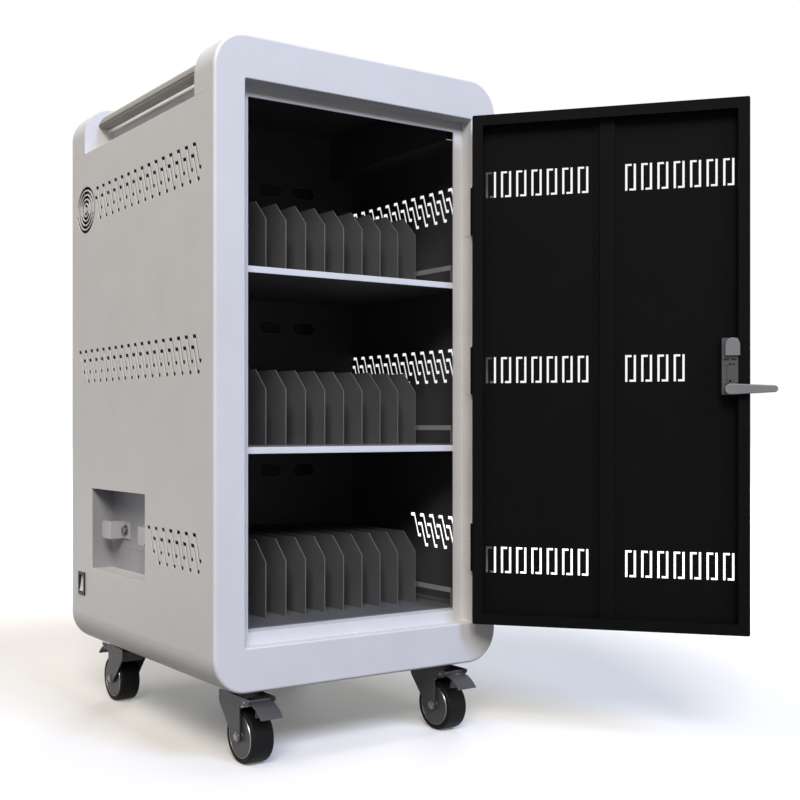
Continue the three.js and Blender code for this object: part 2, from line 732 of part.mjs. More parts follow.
function addRecess() {
  addPart(cart, 'cord_recess_box', recessSolid(), PAINT);
  addPart(cart, 'cord_hook_front', hookSolid(RECESS_FROM + HOOK_INSET, -1), CAST);
  addPart(cart, 'cord_hook_rear', hookSolid(RECESS_TO - HOOK_INSET, 1), CAST);
  addPart(cart, 'power_inlet', inletSolid(), BLACK_PLASTIC);
}

// Rocker switch: the bezel is let into the panel and the rocker tips about a pin along Y

const ROCKER_HALF_W = SWITCH_W / 2 - 2 * SWITCH_RIM;
const ROCKER_HALF_H = SWITCH_H / 2 - 2 * SWITCH_RIM;

function bezelSolid() {
  const halfW = SWITCH_W / 2;
  const halfH = SWITCH_H / 2;
  const rim = SWITCH_RIM;
  const face = box(-HALF_W - SWITCH_PROUD, -HALF_W,
    SWITCH_Y - halfW, SWITCH_Y + halfW, SWITCH_Z - halfH, SWITCH_Z + halfH);
  const cup = box(-HALF_W - SWITCH_PROUD, -HALF_W + SWITCH_BODY,
    SWITCH_Y - halfW + rim, SWITCH_Y + halfW - rim, SWITCH_Z - halfH + rim, SWITCH_Z + halfH - rim);
  const hole = box(-HALF_W - SWITCH_PROUD - 1, -HALF_W + SWITCH_BODY - rim,
    SWITCH_Y - ROCKER_HALF_W - ROCKER_GAP, SWITCH_Y + ROCKER_HALF_W + ROCKER_GAP,
    SWITCH_Z - ROCKER_HALF_H - ROCKER_GAP, SWITCH_Z + ROCKER_HALF_H + ROCKER_GAP);
  const pin = prism(disc(-HALF_W + ROCKER_T / 2, SWITCH_Z, ROCKER_PIN_R, 8), 'y',
    SWITCH_Y - halfW + rim, SWITCH_Y + halfW - rim);
  return face.add(cup).subtract(hole).add(pin);
}

// The rocker in its own frame: pivot at the origin, face towards -X
function rockerSolid() {
  const half = ROCKER_T / 2;
  const body = prism(outline([
    [half, -ROCKER_HALF_H + half], [half, ROCKER_HALF_H - half], [-half, ROCKER_HALF_H],
    [ROCKER_HOLLOW - half, 0], [-half, -ROCKER_HALF_H]]), 'y', -ROCKER_HALF_W, ROCKER_HALF_W);
  const far = ROCKER_HALF_W + 1;
  return body.subtract(prism(disc(0, 0, ROCKER_PIN_R + FIT_GAP, 10), 'y', -far, far));
}

function addSwitch() {
  addPart(cart, 'switch_bezel', bezelSolid(), BLACK_PLASTIC);
  const pivot = new THREE.Group();
  pivot.position.set(-HALF_W + ROCKER_T / 2, SWITCH_Y, SWITCH_Z);
  pivot.rotation.y = ROCKER_TILT;
  cart.add(pivot);
  addPart(pivot, 'switch_rocker', rockerSolid(), LIGHT_PLASTIC);
}

// Fan behind the ring slots of the left panel

function fanHousingSolid() {
  const y = FAN_Y;
  const half = FAN_R + FAN_RIM;
  const from = -INSIDE;
  const to = from + FAN_FRAME_T;
  const strut = FAN_RIM * 2;
  const shell = box(from, to, y - half, y + half, FAN_Z - half, FAN_Z + half)
    .subtract(prism(disc(y, FAN_Z, FAN_R, 20), 'x', from - 1, to + 1));
  return joined([shell,
    box(to - strut / 2, to, y - half, y + half, FAN_Z - strut, FAN_Z + strut),
    prism(disc(y, FAN_Z, FAN_RIM, 8), 'x', from + strut, to)]);
}

function fanRotorSolid() {
  const pieces = [prism(disc(0, 0, FAN_HUB_R, 16), 'x', -FAN_FRAME_T / 4, FAN_FRAME_T / 4)];
  const reach = FAN_R - FAN_RIM;
  for (let i = 0; i < FAN_BLADES; i += 1) {
    const blade = new THREE.BoxGeometry(FAN_BLADE_T, FAN_HUB_R, reach - FAN_HUB_R / 2);
    blade.translate(0, 0, (reach + FAN_HUB_R / 2) / 2);
    blade.rotateZ(FAN_PITCH);
    blade.rotateX((2 * Math.PI * i) / FAN_BLADES);
    pieces.push(toSolid(blade));
  }
  const bore = prism(disc(0, 0, FAN_RIM + FIT_GAP * 2, 8), 'x', -FAN_FRAME_T, FAN_FRAME_T);
  return joined(pieces).subtract(bore);
}

function addFan() {
  addPart(cart, 'fan_housing', fanHousingSolid(), BLACK_PLASTIC);
  const hub = new THREE.Group();
  hub.position.set(-INSIDE + FAN_FRAME_T / 2 - FAN_RIM / 2, FAN_Y, FAN_Z);
  cart.add(hub);
  addPart(hub, 'fan_rotor', fanRotorSolid(), BLACK_PLASTIC);
}

// Hinges, drawn about their own pin: the leaf on the frame carries the pin

// The plate of a leaf; weld is how far it runs into the sheet that it is welded to
function leafSolid(side, z, weld) {
  const far = side > 0 ? -DOOR_EDGE + weld : DOOR_EDGE + FIT_GAP - weld;
  const near = side > 0 ? -DOOR_EDGE - LEAF_T : DOOR_EDGE + FIT_GAP + LEAF_T;
  return box(Math.min(near, far), Math.max(near, far), HINGE_R + HINGE_PLAY * 2, HINGE_OUT + LEAF_W,
    z - HINGE_L / 2, z + HINGE_L / 2);
}

// The strip that joins a leaf's plate to its knuckle
function leafNeck(side, from, to) {
  const near = side > 0 ? -DOOR_EDGE - LEAF_T : DOOR_EDGE + FIT_GAP;
  return box(near, near + LEAF_T, HINGE_R - LEAF_T * 2, HINGE_R + HINGE_PLAY * 3, from, to);
}

function frameLeafSolid(z, weld = 0) {
  const half = HINGE_L / 2;
  const knuckle = KNUCKLE_L / 2 + HINGE_PLAY;
  const pieces = [leafSolid(1, z, weld), prism(disc(0, 0, HINGE_PIN_R, 8), 'z', z - half, z + half)];
  for (const [from, to] of [[z - half, z - knuckle], [z + knuckle, z + half]]) {
    pieces.push(prism(disc(0, 0, HINGE_R), 'z', from, to), leafNeck(1, from, to));
  }
  return joined(pieces);
}

function doorLeafSolid(z, weld = 0) {
  const half = KNUCKLE_L / 2;
  const bore = prism(disc(0, 0, HINGE_PIN_R + HINGE_PLAY, 8), 'z', z - HINGE_L, z + HINGE_L);
  return joined([
    leafSolid(-1, z, weld), leafNeck(-1, z - half, z + half),
    prism(disc(0, 0, HINGE_R), 'z', z - half, z + half)]).subtract(bore);
}

// A pan door hung on the origin, its outer face towards -Y and its free edge towards -X

function panSolid(cutters) {
  const inside = DOOR_OUTER + SHEET;
  const lip = DOOR_INNER - SHEET;
  const x0 = DOOR_FREE;
  const x1 = DOOR_EDGE;
  const pan = box(x0, x1, DOOR_OUTER, DOOR_INNER, DOOR_LOW, DOOR_HIGH);
  const cavity = box(x0 + SHEET, x1 - SHEET, inside, lip, DOOR_LOW + SHEET, DOOR_HIGH - SHEET);
  const mouth = box(x0 + DOOR_LIP, x1 - DOOR_LIP, inside, DOOR_INNER + 1,
    DOOR_LOW + DOOR_LIP, DOOR_HIGH - DOOR_LIP);
  return pan.subtract(cavity).subtract(mouth).subtract(prism(cutters, 'y', DOOR_OUTER - 1, inside + 1));
}

function ventCell(x, z) {
  const high = [
    [0, 0], [CELL_TICK, 0], [CELL_TICK, -CELL_LINE],
    [CELL_LINE, -CELL_LINE], [CELL_LINE, -CELL_H], [0, -CELL_H]];
  const low = high.map(([a, b]) => [CELL_W - a, -CELL_H - b]);
  return [high, low].map((points) => outline(points.map(([a, b]) => [x - a, z + b])));
}

// Cells on each side of the stiffener, at the height given; the last ones by the lock may be left out
function doorVents(z, leftOut) {
  const slots = [];
  const stiffenerHalf = STIFFENER_W / 2 + STIFFENER_FOOT + CELL_GAP;
  const room = DOOR_W / 2 - stiffenerHalf - CELL_EDGE;
  const count = Math.floor((room - CELL_W) / CELL_PITCH) + 1;
  for (let i = 0; i < count; i += 1) {
    slots.push(...ventCell(DOOR_EDGE - CELL_EDGE - i * CELL_PITCH, z));
    const far = DOOR_EDGE - DOOR_W / 2 - stiffenerHalf - i * CELL_PITCH;
    if (i < count - leftOut) slots.push(...ventCell(far, z));
  }
  return slots;
}

const CELL_TOP = DOOR_HIGH - CELL_DROP;
const CELL_LOW = DOOR_LOW + CELL_RISE;

// Front door lock, drawn on the closed door

const LOCK_X = DOOR_FREE + DOOR_LIP + LOCK_INSET + LOCK_W / 2;
const LOCK_TOP = DOOR_MID + LOCK_RISE;
const LOCK_LOW = LOCK_TOP - LOCK_H;
const LEVER_Z = LOCK_TOP - LEVER_DROP;
const COVER_FACE = DOOR_OUTER + SHEET + FIT_GAP + LOCK_CASE_T + FIT_GAP + LOCK_COVER_T;
const LEVER_FACE = COVER_FACE + LEVER_LIFT;
const KEY_Z = LEVER_Z + KEY_RISE;
const SPINDLE_HOLE = SPINDLE_R + SPINDLE_PLAY;
const KEY_HOLE = KEY_R + SPINDLE_PLAY;
const HANDLE_FACE = DOOR_OUTER - PLATE_T - HANDLE_OUT;
const SPINDLE_SEAT = HANDLE_FACE + HANDLE_T / 3;

function stiffenerSolid() {
  const from = DOOR_OUTER + SHEET + FIT_GAP;
  const middle = DOOR_EDGE - DOOR_W / 2;
  const half = STIFFENER_W / 2;
  const right = [
    [half - SHEET, from + STIFFENER_H - SHEET], [half - SHEET, from], [half + STIFFENER_FOOT, from],
    [half + STIFFENER_FOOT, from + SHEET], [half, from + SHEET], [half, from + STIFFENER_H]];
  const left = right.map(([x, y]) => [-x, y]).reverse();
  const hat = outline([...right, ...left].map(([x, y]) => [middle + x, y]));
  return prism(hat, 'z', DOOR_LOW + SHEET + FIT_GAP, DOOR_HIGH - SHEET - FIT_GAP);
}

function lockCaseSolid() {
  const from = DOOR_OUTER + SHEET + FIT_GAP;
  return box(LOCK_X - LOCK_W / 2, LOCK_X + LOCK_W / 2, from, from + LOCK_CASE_T, LOCK_LOW, LOCK_TOP)
    .subtract(prism(disc(LOCK_X, LEVER_Z, SPINDLE_HOLE), 'y', from - 1, from + LOCK_CASE_T + 1));
}

// Cover of the lock: two screw bosses, a rib between them and a round-topped block
function lockCoverSolid() {
  const back = COVER_FACE - LOCK_COVER_T;
  const half = LOCK_BLOCK_W / 2;
  const block = new THREE.Shape();
  block.moveTo(LOCK_X - half, LOCK_TOP - LOCK_BLOCK_H);
  block.lineTo(LOCK_X + half, LOCK_TOP - LOCK_BLOCK_H);
  block.lineTo(LOCK_X + half, LOCK_TOP - half);
  block.absarc(LOCK_X, LOCK_TOP - half, half, 0, Math.PI);
  const upper = LOCK_TOP - LOCK_BLOCK_H - BOSS_PITCH / 2;
  const lower = upper - BOSS_PITCH;
  const bosses = [upper, lower].map((z) => disc(LOCK_X, z, BOSS_R, 12));
  const holes = [upper, lower].map((z) => disc(LOCK_X, z, BOSS_R / 2, 8));
  const rib = rectangle(LOCK_X - BOSS_R / 2, lower, LOCK_X + BOSS_R / 2, upper);
  return joined([
    box(LOCK_X - LOCK_W / 2, LOCK_X + LOCK_W / 2, back, COVER_FACE, LOCK_LOW, LOCK_TOP),
    prism(block, 'y', COVER_FACE - 1, COVER_FACE + LOCK_BLOCK_T),
    prism(rib, 'y', COVER_FACE - 1, COVER_FACE + BOSS_T / 2),
    prism(bosses, 'y', COVER_FACE - 1, COVER_FACE + BOSS_T)])
    .subtract(prism(holes, 'y', COVER_FACE - 1, COVER_FACE + BOSS_T + 1))
    .subtract(prism(disc(LOCK_X, LEVER_Z, SPINDLE_HOLE), 'y', back - 1, COVER_FACE + 1));
}

// Latch lever: a tapered bar on a spindle that runs through to the outer handle
function leverSolid() {
  const tip = LOCK_X - LEVER_REACH;
  const bar = new THREE.Shape();
  bar.absarc(LOCK_X, LEVER_Z, LEVER_BOSS_R, -Math.PI / 2, Math.PI / 2);
  bar.absarc(tip + LEVER_TIP_R, LEVER_Z, LEVER_TIP_R, Math.PI / 2, 1.5 * Math.PI);
  return joined([
    prism(bar, 'y', LEVER_FACE, LEVER_FACE + LEVER_T, 6),
    prism(disc(LOCK_X, LEVER_Z, SPINDLE_R), 'y', SPINDLE_SEAT + FIT_GAP, LEVER_FACE + 1)]);
}

function escutcheonSolid() {
  const to = DOOR_OUTER - FIT_GAP;
  const from = to - PLATE_T;
  const middle = (LEVER_Z + KEY_Z) / 2;
  const x0 = Math.max(LOCK_X - PLATE_W / 2, DOOR_FREE + SHEET);
  const plate = roundedRectangle(x0, middle - PLATE_H / 2, x0 + PLATE_W, middle + PLATE_H / 2, PLATE_W / 4);
  return prism(plate, 'y', from, to, 4)
    .subtract(prism(disc(LOCK_X, LEVER_Z, SPINDLE_HOLE), 'y', from - 1, to + 1))
    .subtract(prism(disc(LOCK_X, KEY_Z, KEY_HOLE), 'y', from - 1, to + 1));
}

function handleSolid() {
  const half = HANDLE_W / 2;
  const shape = roundedRectangle(
    LOCK_X - half, LEVER_Z - half, LOCK_X + HANDLE_L - half, LEVER_Z + half, half - 1);
  return prism(shape, 'y', HANDLE_FACE, HANDLE_FACE + HANDLE_T, 4)
    .subtract(prism(disc(LOCK_X, LEVER_Z, SPINDLE_R + FIT_GAP), 'y', SPINDLE_SEAT, DOOR_OUTER));
}

function keySolid() {
  const from = DOOR_OUTER - PLATE_T - FIT_GAP - KEY_OUT;
  const slot = box(LOCK_X - KEY_SLOT_W / 2, LOCK_X + KEY_SLOT_W / 2, from - 1, from + KEY_OUT,
    KEY_Z - KEY_SLOT_L / 2, KEY_Z + KEY_SLOT_L / 2);
  return prism(disc(LOCK_X, KEY_Z, KEY_R), 'y', from, DOOR_OUTER + SHEET).subtract(slot);
}

function addFrontDoor() {
  const frameSide = new THREE.Group();
  frameSide.position.set(HINGE_X, HINGE_Y, 0);
  const door = new THREE.Group();
  door.position.copy(frameSide.position);
  door.rotation.z = DOOR_OPEN;
  cart.add(frameSide, door);
  const cutters = [
    ...doorVents(CELL_TOP, 0), ...doorVents(CELL_LOW, 0),
    ...doorVents(DOOR_MID + CELL_H / 2, CELLS_LEFT_FOR_LOCK),
    disc(LOCK_X, LEVER_Z, SPINDLE_HOLE), disc(LOCK_X, KEY_Z, KEY_HOLE)];
  addPart(door, 'door_panel', panSolid(cutters), BLACK_PAINT);
  addPart(door, 'door_stiffener', stiffenerSolid(), BLACK_PAINT);
  ['upper', 'middle', 'lower'].forEach((label, i) => {
    addPart(frameSide, `hinge_frame_leaf_${label}`, frameLeafSolid(HINGE_ZS[i]), BLACK_PAINT);
    addPart(door, `hinge_door_leaf_${label}`, doorLeafSolid(HINGE_ZS[i]), BLACK_PAINT);
  });
  addPart(door, 'lock_case', lockCaseSolid(), ZINC);
  addPart(door, 'lock_cover', lockCoverSolid(), CAST);
  addPart(door, 'latch_lever', leverSolid(), CAST);
  addPart(door, 'outer_escutcheon', escutcheonSolid(), CAST);
  addPart(door, 'outer_handle', handleSolid(), CAST);
  addPart(door, 'key_cylinder', keySolid(), STEEL);
}

// Rear door with a cam lock: the same pan, turned about and shut, its cam hanging down unlocked

const CAM_X = DOOR_FREE + CAM_INSET;
const CAM_Z = DOOR_MID;

function camLockSolid() {
  const cam = DOOR_OUTER + REBATE + SHEET + CAM_GAP;
  const face = DOOR_OUTER - FIT_GAP;
  const half = CAM_W / 2;
  const slot = box(CAM_X - KEY_SLOT_W / 2, CAM_X + KEY_SLOT_W / 2,
    face - CAM_HEAD_T - 1, face - CAM_HEAD_T / 3, CAM_Z - KEY_SLOT_L / 2, CAM_Z + KEY_SLOT_L / 2);
  return joined([
    box(CAM_X - half, CAM_X + half, cam, cam + CAM_T, CAM_Z - CAM_REACH, CAM_Z + half),
    prism(disc(CAM_X, CAM_Z, CAM_HEAD_R), 'y', face - CAM_HEAD_T, face),
    prism(disc(CAM_X, CAM_Z, KEY_R), 'y', face - 1, cam + 1)]).subtract(slot);
}

function addRearDoor() {
  const door = new THREE.Group();
  door.position.set(-HINGE_X, -HINGE_Y, 0);
  door.rotation.z = Math.PI;
  cart.add(door);
  const cutters = [...doorVents(CELL_TOP, 0), ...doorVents(CELL_LOW, 0), disc(CAM_X, CAM_Z, KEY_HOLE)];
  const leaves = HINGE_ZS.map((z) => doorLeafSolid(z, WELD));
  addPart(door, 'rear_door', joined([panSolid(cutters), ...leaves]), PAINT);
  addPart(door, 'rear_door_lock', camLockSolid(), STEEL);
}

// Casters, each drawn with its swivel axis on the origin and its wheel trailing towards -Y

const CASTER_X = HALF_W - CORNER_R - CASTER_PLATE_W / 2 - CASTER_SIDE_GAP;
const PLATE_LOW = CASTER_H - CASTER_PLATE_T;
const RACE_LOW = PLATE_LOW - RACE_T;
const CROWN_TOP = RACE_LOW - RACE_GAP;
const CROWN_LOW = CROWN_TOP - CROWN_T;
const PEDAL_Y = -TRAIL - PEDAL_PIN_AHEAD;
const PEDAL_Z = CROWN_TOP - ARM_R;

function casterPlateSolid() {
  const halfW = CASTER_PLATE_W / 2;
  const halfL = CASTER_PLATE_L / 2;
  const pieces = [
    box(-halfW, halfW, -halfL, halfL, PLATE_LOW, CASTER_H),
    prism(disc(0, 0, RACE_R, 16), 'z', RACE_LOW, PLATE_LOW + 1)];
  for (const x of [-1, 1]) {
    for (const y of [-1, 1]) {
      const bolt = disc(x * (halfW - BOLT_INSET), y * (halfL - BOLT_INSET), BOLT_R, 6);
      pieces.push(prism(bolt, 'z', PLATE_LOW - BOLT_T, PLATE_LOW + 1));
    }
  }
  return joined(pieces).subtract(prism(disc(0, 0, KINGPIN_R + AXLE_PLAY), 'z', RACE_LOW - 1, PLATE_LOW));
}

// Fork: a crown on the kingpin and two legs that narrow to the axle, with arms for the pedal's pin
function forkSolid() {
  const armTip = PEDAL_Y - ARM_REACH;
  const armLow = PEDAL_Z - ARM_R;
  const foot = LEG_FOOT;
  const leg = outline([
    [LEG_BACK, CROWN_TOP], [armTip, CROWN_TOP], [armTip, PEDAL_Z], [PEDAL_Y - ARM_R / 2, armLow],
    [-TRAIL - foot, armLow], [-TRAIL - foot, WHEEL_R], [-TRAIL - foot / 2, WHEEL_R - foot],
    [-TRAIL + foot / 2, WHEEL_R - foot], [-TRAIL + LEG_KNEE_BACK, WHEEL_R + LEG_KNEE_RISE],
    [LEG_BACK, CROWN_TOP - LEG_SKIRT]]);
  const out = FORK_IN + FORK_T;
  const pieces = [
    prism(disc(0, 0, KINGPIN_R), 'z', CROWN_LOW, PLATE_LOW - RACE_GAP),
    box(-out, out, -RACE_R, RACE_R, CROWN_LOW, CROWN_TOP),
    prism(disc(-TRAIL, WHEEL_R, AXLE_R, 10), 'x', -out - 1, out + 1)];
  for (const side of [-1, 1]) {
    const near = side * FORK_IN;
    const far = side * out;
    const head = side * (out + AXLE_HEAD_T);
    pieces.push(
      prism(leg, 'x', Math.min(near, far), Math.max(near, far)),
      prism(disc(-TRAIL, WHEEL_R, AXLE_HEAD_R, 6), 'x', Math.min(far, head), Math.max(far, head)));
  }
  const pinHole = prism(disc(PEDAL_Y, PEDAL_Z, PEDAL_PIN_R + AXLE_PLAY, 8), 'x', -out - 1, out + 1);
  return joined(pieces).subtract(pinHole);
}

// Wheel: dished hub and a tread with rounded shoulders, turned about the axle so that it rests on a flat
function wheelSolid() {
  const half = WHEEL_W / 2;
  const bore = AXLE_R + AXLE_PLAY;
  const inner = half - HUB_DISH;
  const profile = [
    [bore, -half], [HUB_BOSS_R, -half], [HUB_BOSS_R, -inner], [HUB_R, -inner], [HUB_R, -half],
    [WHEEL_R - TREAD_SHOULDER, -half], [WHEEL_R, -half + TREAD_SHOULDER],
    [WHEEL_R, half - TREAD_SHOULDER], [WHEEL_R - TREAD_SHOULDER, half],
    [HUB_R, half], [HUB_R, inner], [HUB_BOSS_R, inner], [HUB_BOSS_R, half], [bore, half], [bore, -half]];
  const lathe = new THREE.LatheGeometry(profile.map(([r, x]) => new THREE.Vector2(r, x)), WHEEL_SIDES);
  const across = 1 / Math.cos(Math.PI / WHEEL_SIDES);
  lathe.rotateY(Math.PI / WHEEL_SIDES).scale(across, 1, across).rotateZ(-Math.PI / 2);
  return toSolid(lathe);
}

// Brake pedal: a curved plate hung on a pin between the fork's arms, with a shoe under it for the tread
function pedalSolid() {
  const half = FORK_IN - PEDAL_SIDE;
  const middle = PEDAL_Z - PEDAL_R;
  const inner = PEDAL_R - PEDAL_T;
  const plate = new THREE.Shape();
  plate.absarc(PEDAL_Y, middle, inner, Math.PI / 2 + PEDAL_FROM, Math.PI / 2 + PEDAL_TO);
  plate.absarc(PEDAL_Y, middle, PEDAL_R, Math.PI / 2 + PEDAL_TO, Math.PI / 2 + PEDAL_FROM, true);
  const rootR = PEDAL_R - PEDAL_T / 2;
  const rootY = PEDAL_Y - rootR * Math.sin(SHOE_ROOT);
  const rootZ = middle + rootR * Math.cos(SHOE_ROOT);
  const tipR = WHEEL_R + SHOE_GAP;
  const tipY = -TRAIL - tipR * Math.sin(SHOE_AT);
  const tipZ = WHEEL_R + tipR * Math.cos(SHOE_AT);
  const thick = SHOE_T / 2;
  const shoe = outline([
    [rootY - thick, rootZ], [rootY + thick, rootZ], [tipY + thick, tipZ], [tipY - thick, tipZ]]);
  const out = FORK_IN + FORK_T + PEDAL_PIN_OUT;
  return joined([
    prism(plate, 'x', -half, half, 4),
    prism(shoe, 'x', -SHOE_W / 2, SHOE_W / 2),
    prism(disc(PEDAL_Y, PEDAL_Z, PEDAL_PIN_R, 8), 'x', -out, out)]);
}

function addCasters() {
  const places = [
    ['front_left', -1, -1], ['front_right', 1, -1], ['rear_left', -1, 1], ['rear_right', 1, 1]];
  for (const [label, side, end] of places) {
    const swivel = new THREE.Group();
    swivel.position.set(side * CASTER_X, end * (REAR - CASTER_INSET), 0);
    swivel.rotation.z = end > 0 ? Math.PI : 0;
    cart.add(swivel);
    addPart(swivel, `caster_plate_${label}`, casterPlateSolid(), ZINC);
    addPart(swivel, `caster_fork_${label}`, forkSolid(), ZINC);
    addPart(swivel, `brake_pedal_${label}`, pedalSolid(), ZINC);
    const hub = new THREE.Group();
    hub.position.set(0, -TRAIL, WHEEL_R);
    swivel.add(hub);
    addPart(hub, `caster_wheel_${label}`, wheelSolid(), TYRE);
  }
}

addFrames();
addSidePanels();
addShell();
addInterior();
addPowerStrips();
addRecess();
addSwitch();
addFan();
addFrontDoor();
addRearDoor();
addCasters();

export default cart;
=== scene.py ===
"""Looks of a laptop charging cart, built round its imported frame: sheet-metal skins with rounded folds,
punched vents, mouldings, a door lock and braked casters. Metres, in the frame's own axes."""
import json
import math

import bmesh
import bpy
from mathutils import Matrix, Vector


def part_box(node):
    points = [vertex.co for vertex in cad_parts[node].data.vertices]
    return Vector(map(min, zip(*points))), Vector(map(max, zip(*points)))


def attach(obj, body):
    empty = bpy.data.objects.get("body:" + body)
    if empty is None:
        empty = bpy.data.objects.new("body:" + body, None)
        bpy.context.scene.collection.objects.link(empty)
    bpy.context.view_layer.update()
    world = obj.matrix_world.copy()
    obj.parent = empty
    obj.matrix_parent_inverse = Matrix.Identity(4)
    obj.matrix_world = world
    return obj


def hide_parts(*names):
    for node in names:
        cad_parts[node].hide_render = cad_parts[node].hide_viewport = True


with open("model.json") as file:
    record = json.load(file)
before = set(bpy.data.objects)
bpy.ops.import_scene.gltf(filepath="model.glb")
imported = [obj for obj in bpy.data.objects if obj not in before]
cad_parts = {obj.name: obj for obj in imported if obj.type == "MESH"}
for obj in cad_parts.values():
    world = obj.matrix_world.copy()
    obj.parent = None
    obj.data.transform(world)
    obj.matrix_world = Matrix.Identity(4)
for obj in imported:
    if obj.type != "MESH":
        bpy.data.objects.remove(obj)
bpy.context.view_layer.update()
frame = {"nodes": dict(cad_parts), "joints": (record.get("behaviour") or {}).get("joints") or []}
NODES = frame["nodes"]
JOINTS = {joint["name"]: joint for joint in frame["joints"]}
MM = 0.001

# Sizes that the frame gives
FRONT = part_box("front_frame")[0].y
MID_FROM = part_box("front_frame")[1].y
MID_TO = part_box("rear_frame")[0].y
HALF_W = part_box("front_frame")[1].x
Z_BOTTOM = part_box("front_frame")[0].z
Z_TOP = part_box("front_frame")[1].z
Z_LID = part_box("top_panel")[1].z
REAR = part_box("left_side_panel")[1].y
Z_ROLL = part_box("left_side_panel")[0].z
Z_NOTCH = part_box("left_side_panel")[1].z
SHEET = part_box("left_side_panel")[1].x + HALF_W
CORNER_R = Z_ROLL - Z_BOTTOM
POCKET_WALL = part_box("right_grip_bar")[0].x
DOOR_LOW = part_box("door_panel")[0].z
DOOR_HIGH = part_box("door_panel")[1].z
DOOR_MID = (DOOR_LOW + DOOR_HIGH) / 2
HINGE = Vector(JOINTS["front_door_swing"]["pos_m"])
DOOR_OPEN = math.radians(-JOINTS["front_door_swing"]["range_deg"][0])

# Cabinet sizes that follow the construction
DOOR_GAP = 4 * MM
OPEN_HALF = HINGE.x + DOOR_GAP / 2
OPEN_LOW = DOOR_LOW - DOOR_GAP
OPEN_HIGH = DOOR_HIGH + DOOR_GAP
REBATE = 30 * MM
LEDGE = 22 * MM
ARRIS = 6 * MM
FOLD = 3 * MM
SEAM = 24 * MM
LAP = 1.2 * MM
HAIR = 0.3 * MM
PANEL_EDGE = 1.2 * MM
CORNER_STEPS = 12
ARC_STEPS = 5
NOSE_CROWN = 24 * MM
NOSE_CROWN_DROP = 3 * MM
NOSE_LIP = 6.5 * MM
NOSE_UNDERCUT = 1 * MM
NOSE_GROOVE = 1.6 * MM
NOSE_STEPS = 16

# Side vents, ring slots of the fan and the hooks of the cord recess
VENT_PITCH = 32.6 * MM
VENT_START = 74 * MM
VENT_H = 52 * MM
VENT_LEAN = 15 * MM
VENT_STROKE = 2.8 * MM
VENT_TICK_UPPER = 11 * MM
VENT_TICK_LOWER = 7 * MM
VENT_TICK_H = 6.5 * MM
VENT_STAGGER = 7 * MM
VENT_STEP = 20 * MM
VENT_MARGIN = 2 * MM
VENT_ROLL = 0.7 * MM
VENT_END = 34 * MM
VENT_UPPER_Z = Z_NOTCH - 84 * MM
VENT_MIDDLE_Z = 786 * MM
VENT_LOWER_Z = 424 * MM
FAN = Vector(JOINTS["fan_spin"]["pos_m"])
FAN_RINGS = 5
FAN_RING = 6 * MM
FAN_WEB = 3.7 * MM
FAN_HOLE_R = 6 * MM
FAN_R = FAN_HOLE_R + FAN_RINGS * FAN_RING + (FAN_RINGS - 1) * FAN_WEB
FAN_BRIDGE = 11 * MM
RING_STEPS = 40
HOOK_BASE = 35 * MM
HOOK_T = 4 * MM
HOOK_BEND = 5.5 * MM
HOOK_CORNER = 10 * MM
HOOK_SCREW_R = 8 * MM
HOOK_SCREW_H = 5.5 * MM
WASHER_R = 11 * MM
WASHER_T = 1.5 * MM

# Power switch
ROCKER_W = 22 * MM
ROCKER_H = 36 * MM
ROCKER_T = 10 * MM
ROCKER_PROUD = 0.5 * MM
ROCKER_DISH = 2 * MM
ROCKER_TILT = math.radians(JOINTS["power_rocker_tip"]["range_deg"][1] / 2)

# Doors
DOOR_W = 2 * (OPEN_HALF - DOOR_GAP)
DOOR_EDGE = -DOOR_GAP / 2
DOOR_FREE = DOOR_EDGE - DOOR_W
DOOR_OUTER = FRONT - HINGE.y
DOOR_T = 28 * MM
DOOR_INNER = DOOR_OUTER + DOOR_T
DOOR_LIP = 21 * MM
DOOR_CORNER = 4 * MM
STIFFENER_W = 30 * MM
STIFFENER_FOOT = 10 * MM
CELL_W = 20 * MM
CELL_H = 52 * MM
CELL_PITCH = 30 * MM
CELL_LINE = 4 * MM
CELL_TICK = 12 * MM
CELL_EDGE = 24 * MM
CELL_GAP = 9 * MM
CELL_TOP = DOOR_HIGH - 109 * MM
CELL_LOW = DOOR_LOW + 153 * MM
CELLS = 7
CELLS_LEFT_FOR_LOCK = 3
HINGE_L = 96 * MM
HINGE_R = 6.5 * MM
HINGE_PIN_R = 2.8 * MM
HINGE_PLAY = 0.4 * MM
HINGE_ZS = [DOOR_HIGH - 185 * MM, DOOR_MID, DOOR_LOW + 150 * MM]
LABELS = ["upper", "middle", "lower"]
KNUCKLE_L = 33 * MM
LEAF_T = 1.2 * MM
LEAF_W = 20 * MM

# Lock
LOCK_W = 29 * MM
LOCK_H = 107 * MM
LOCK_X = DOOR_FREE + DOOR_LIP + 0.5 * MM + LOCK_W / 2
LOCK_TOP = DOOR_MID + 54 * MM
LEVER_Z = JOINTS["latch_turn"]["pos_m"][2]
COVER_BACK = DOOR_OUTER + SHEET + 23.6 * MM
COVER_FACE = COVER_BACK + 3 * MM
BLOCK_W = 27 * MM
BLOCK_H = 34 * MM
BLOCK_T = 8 * MM
BLOCK_OVER = 4 * MM
BOSS_R = 4.5 * MM
BOSS_T = 2.5 * MM
BOSS_PITCH = 32 * MM
LEVER_LIFT = 10 * MM
LEVER_T = 6 * MM
LEVER_REACH = 83 * MM
LEVER_BOSS_R = 10.5 * MM
LEVER_TIP_R = 6.5 * MM

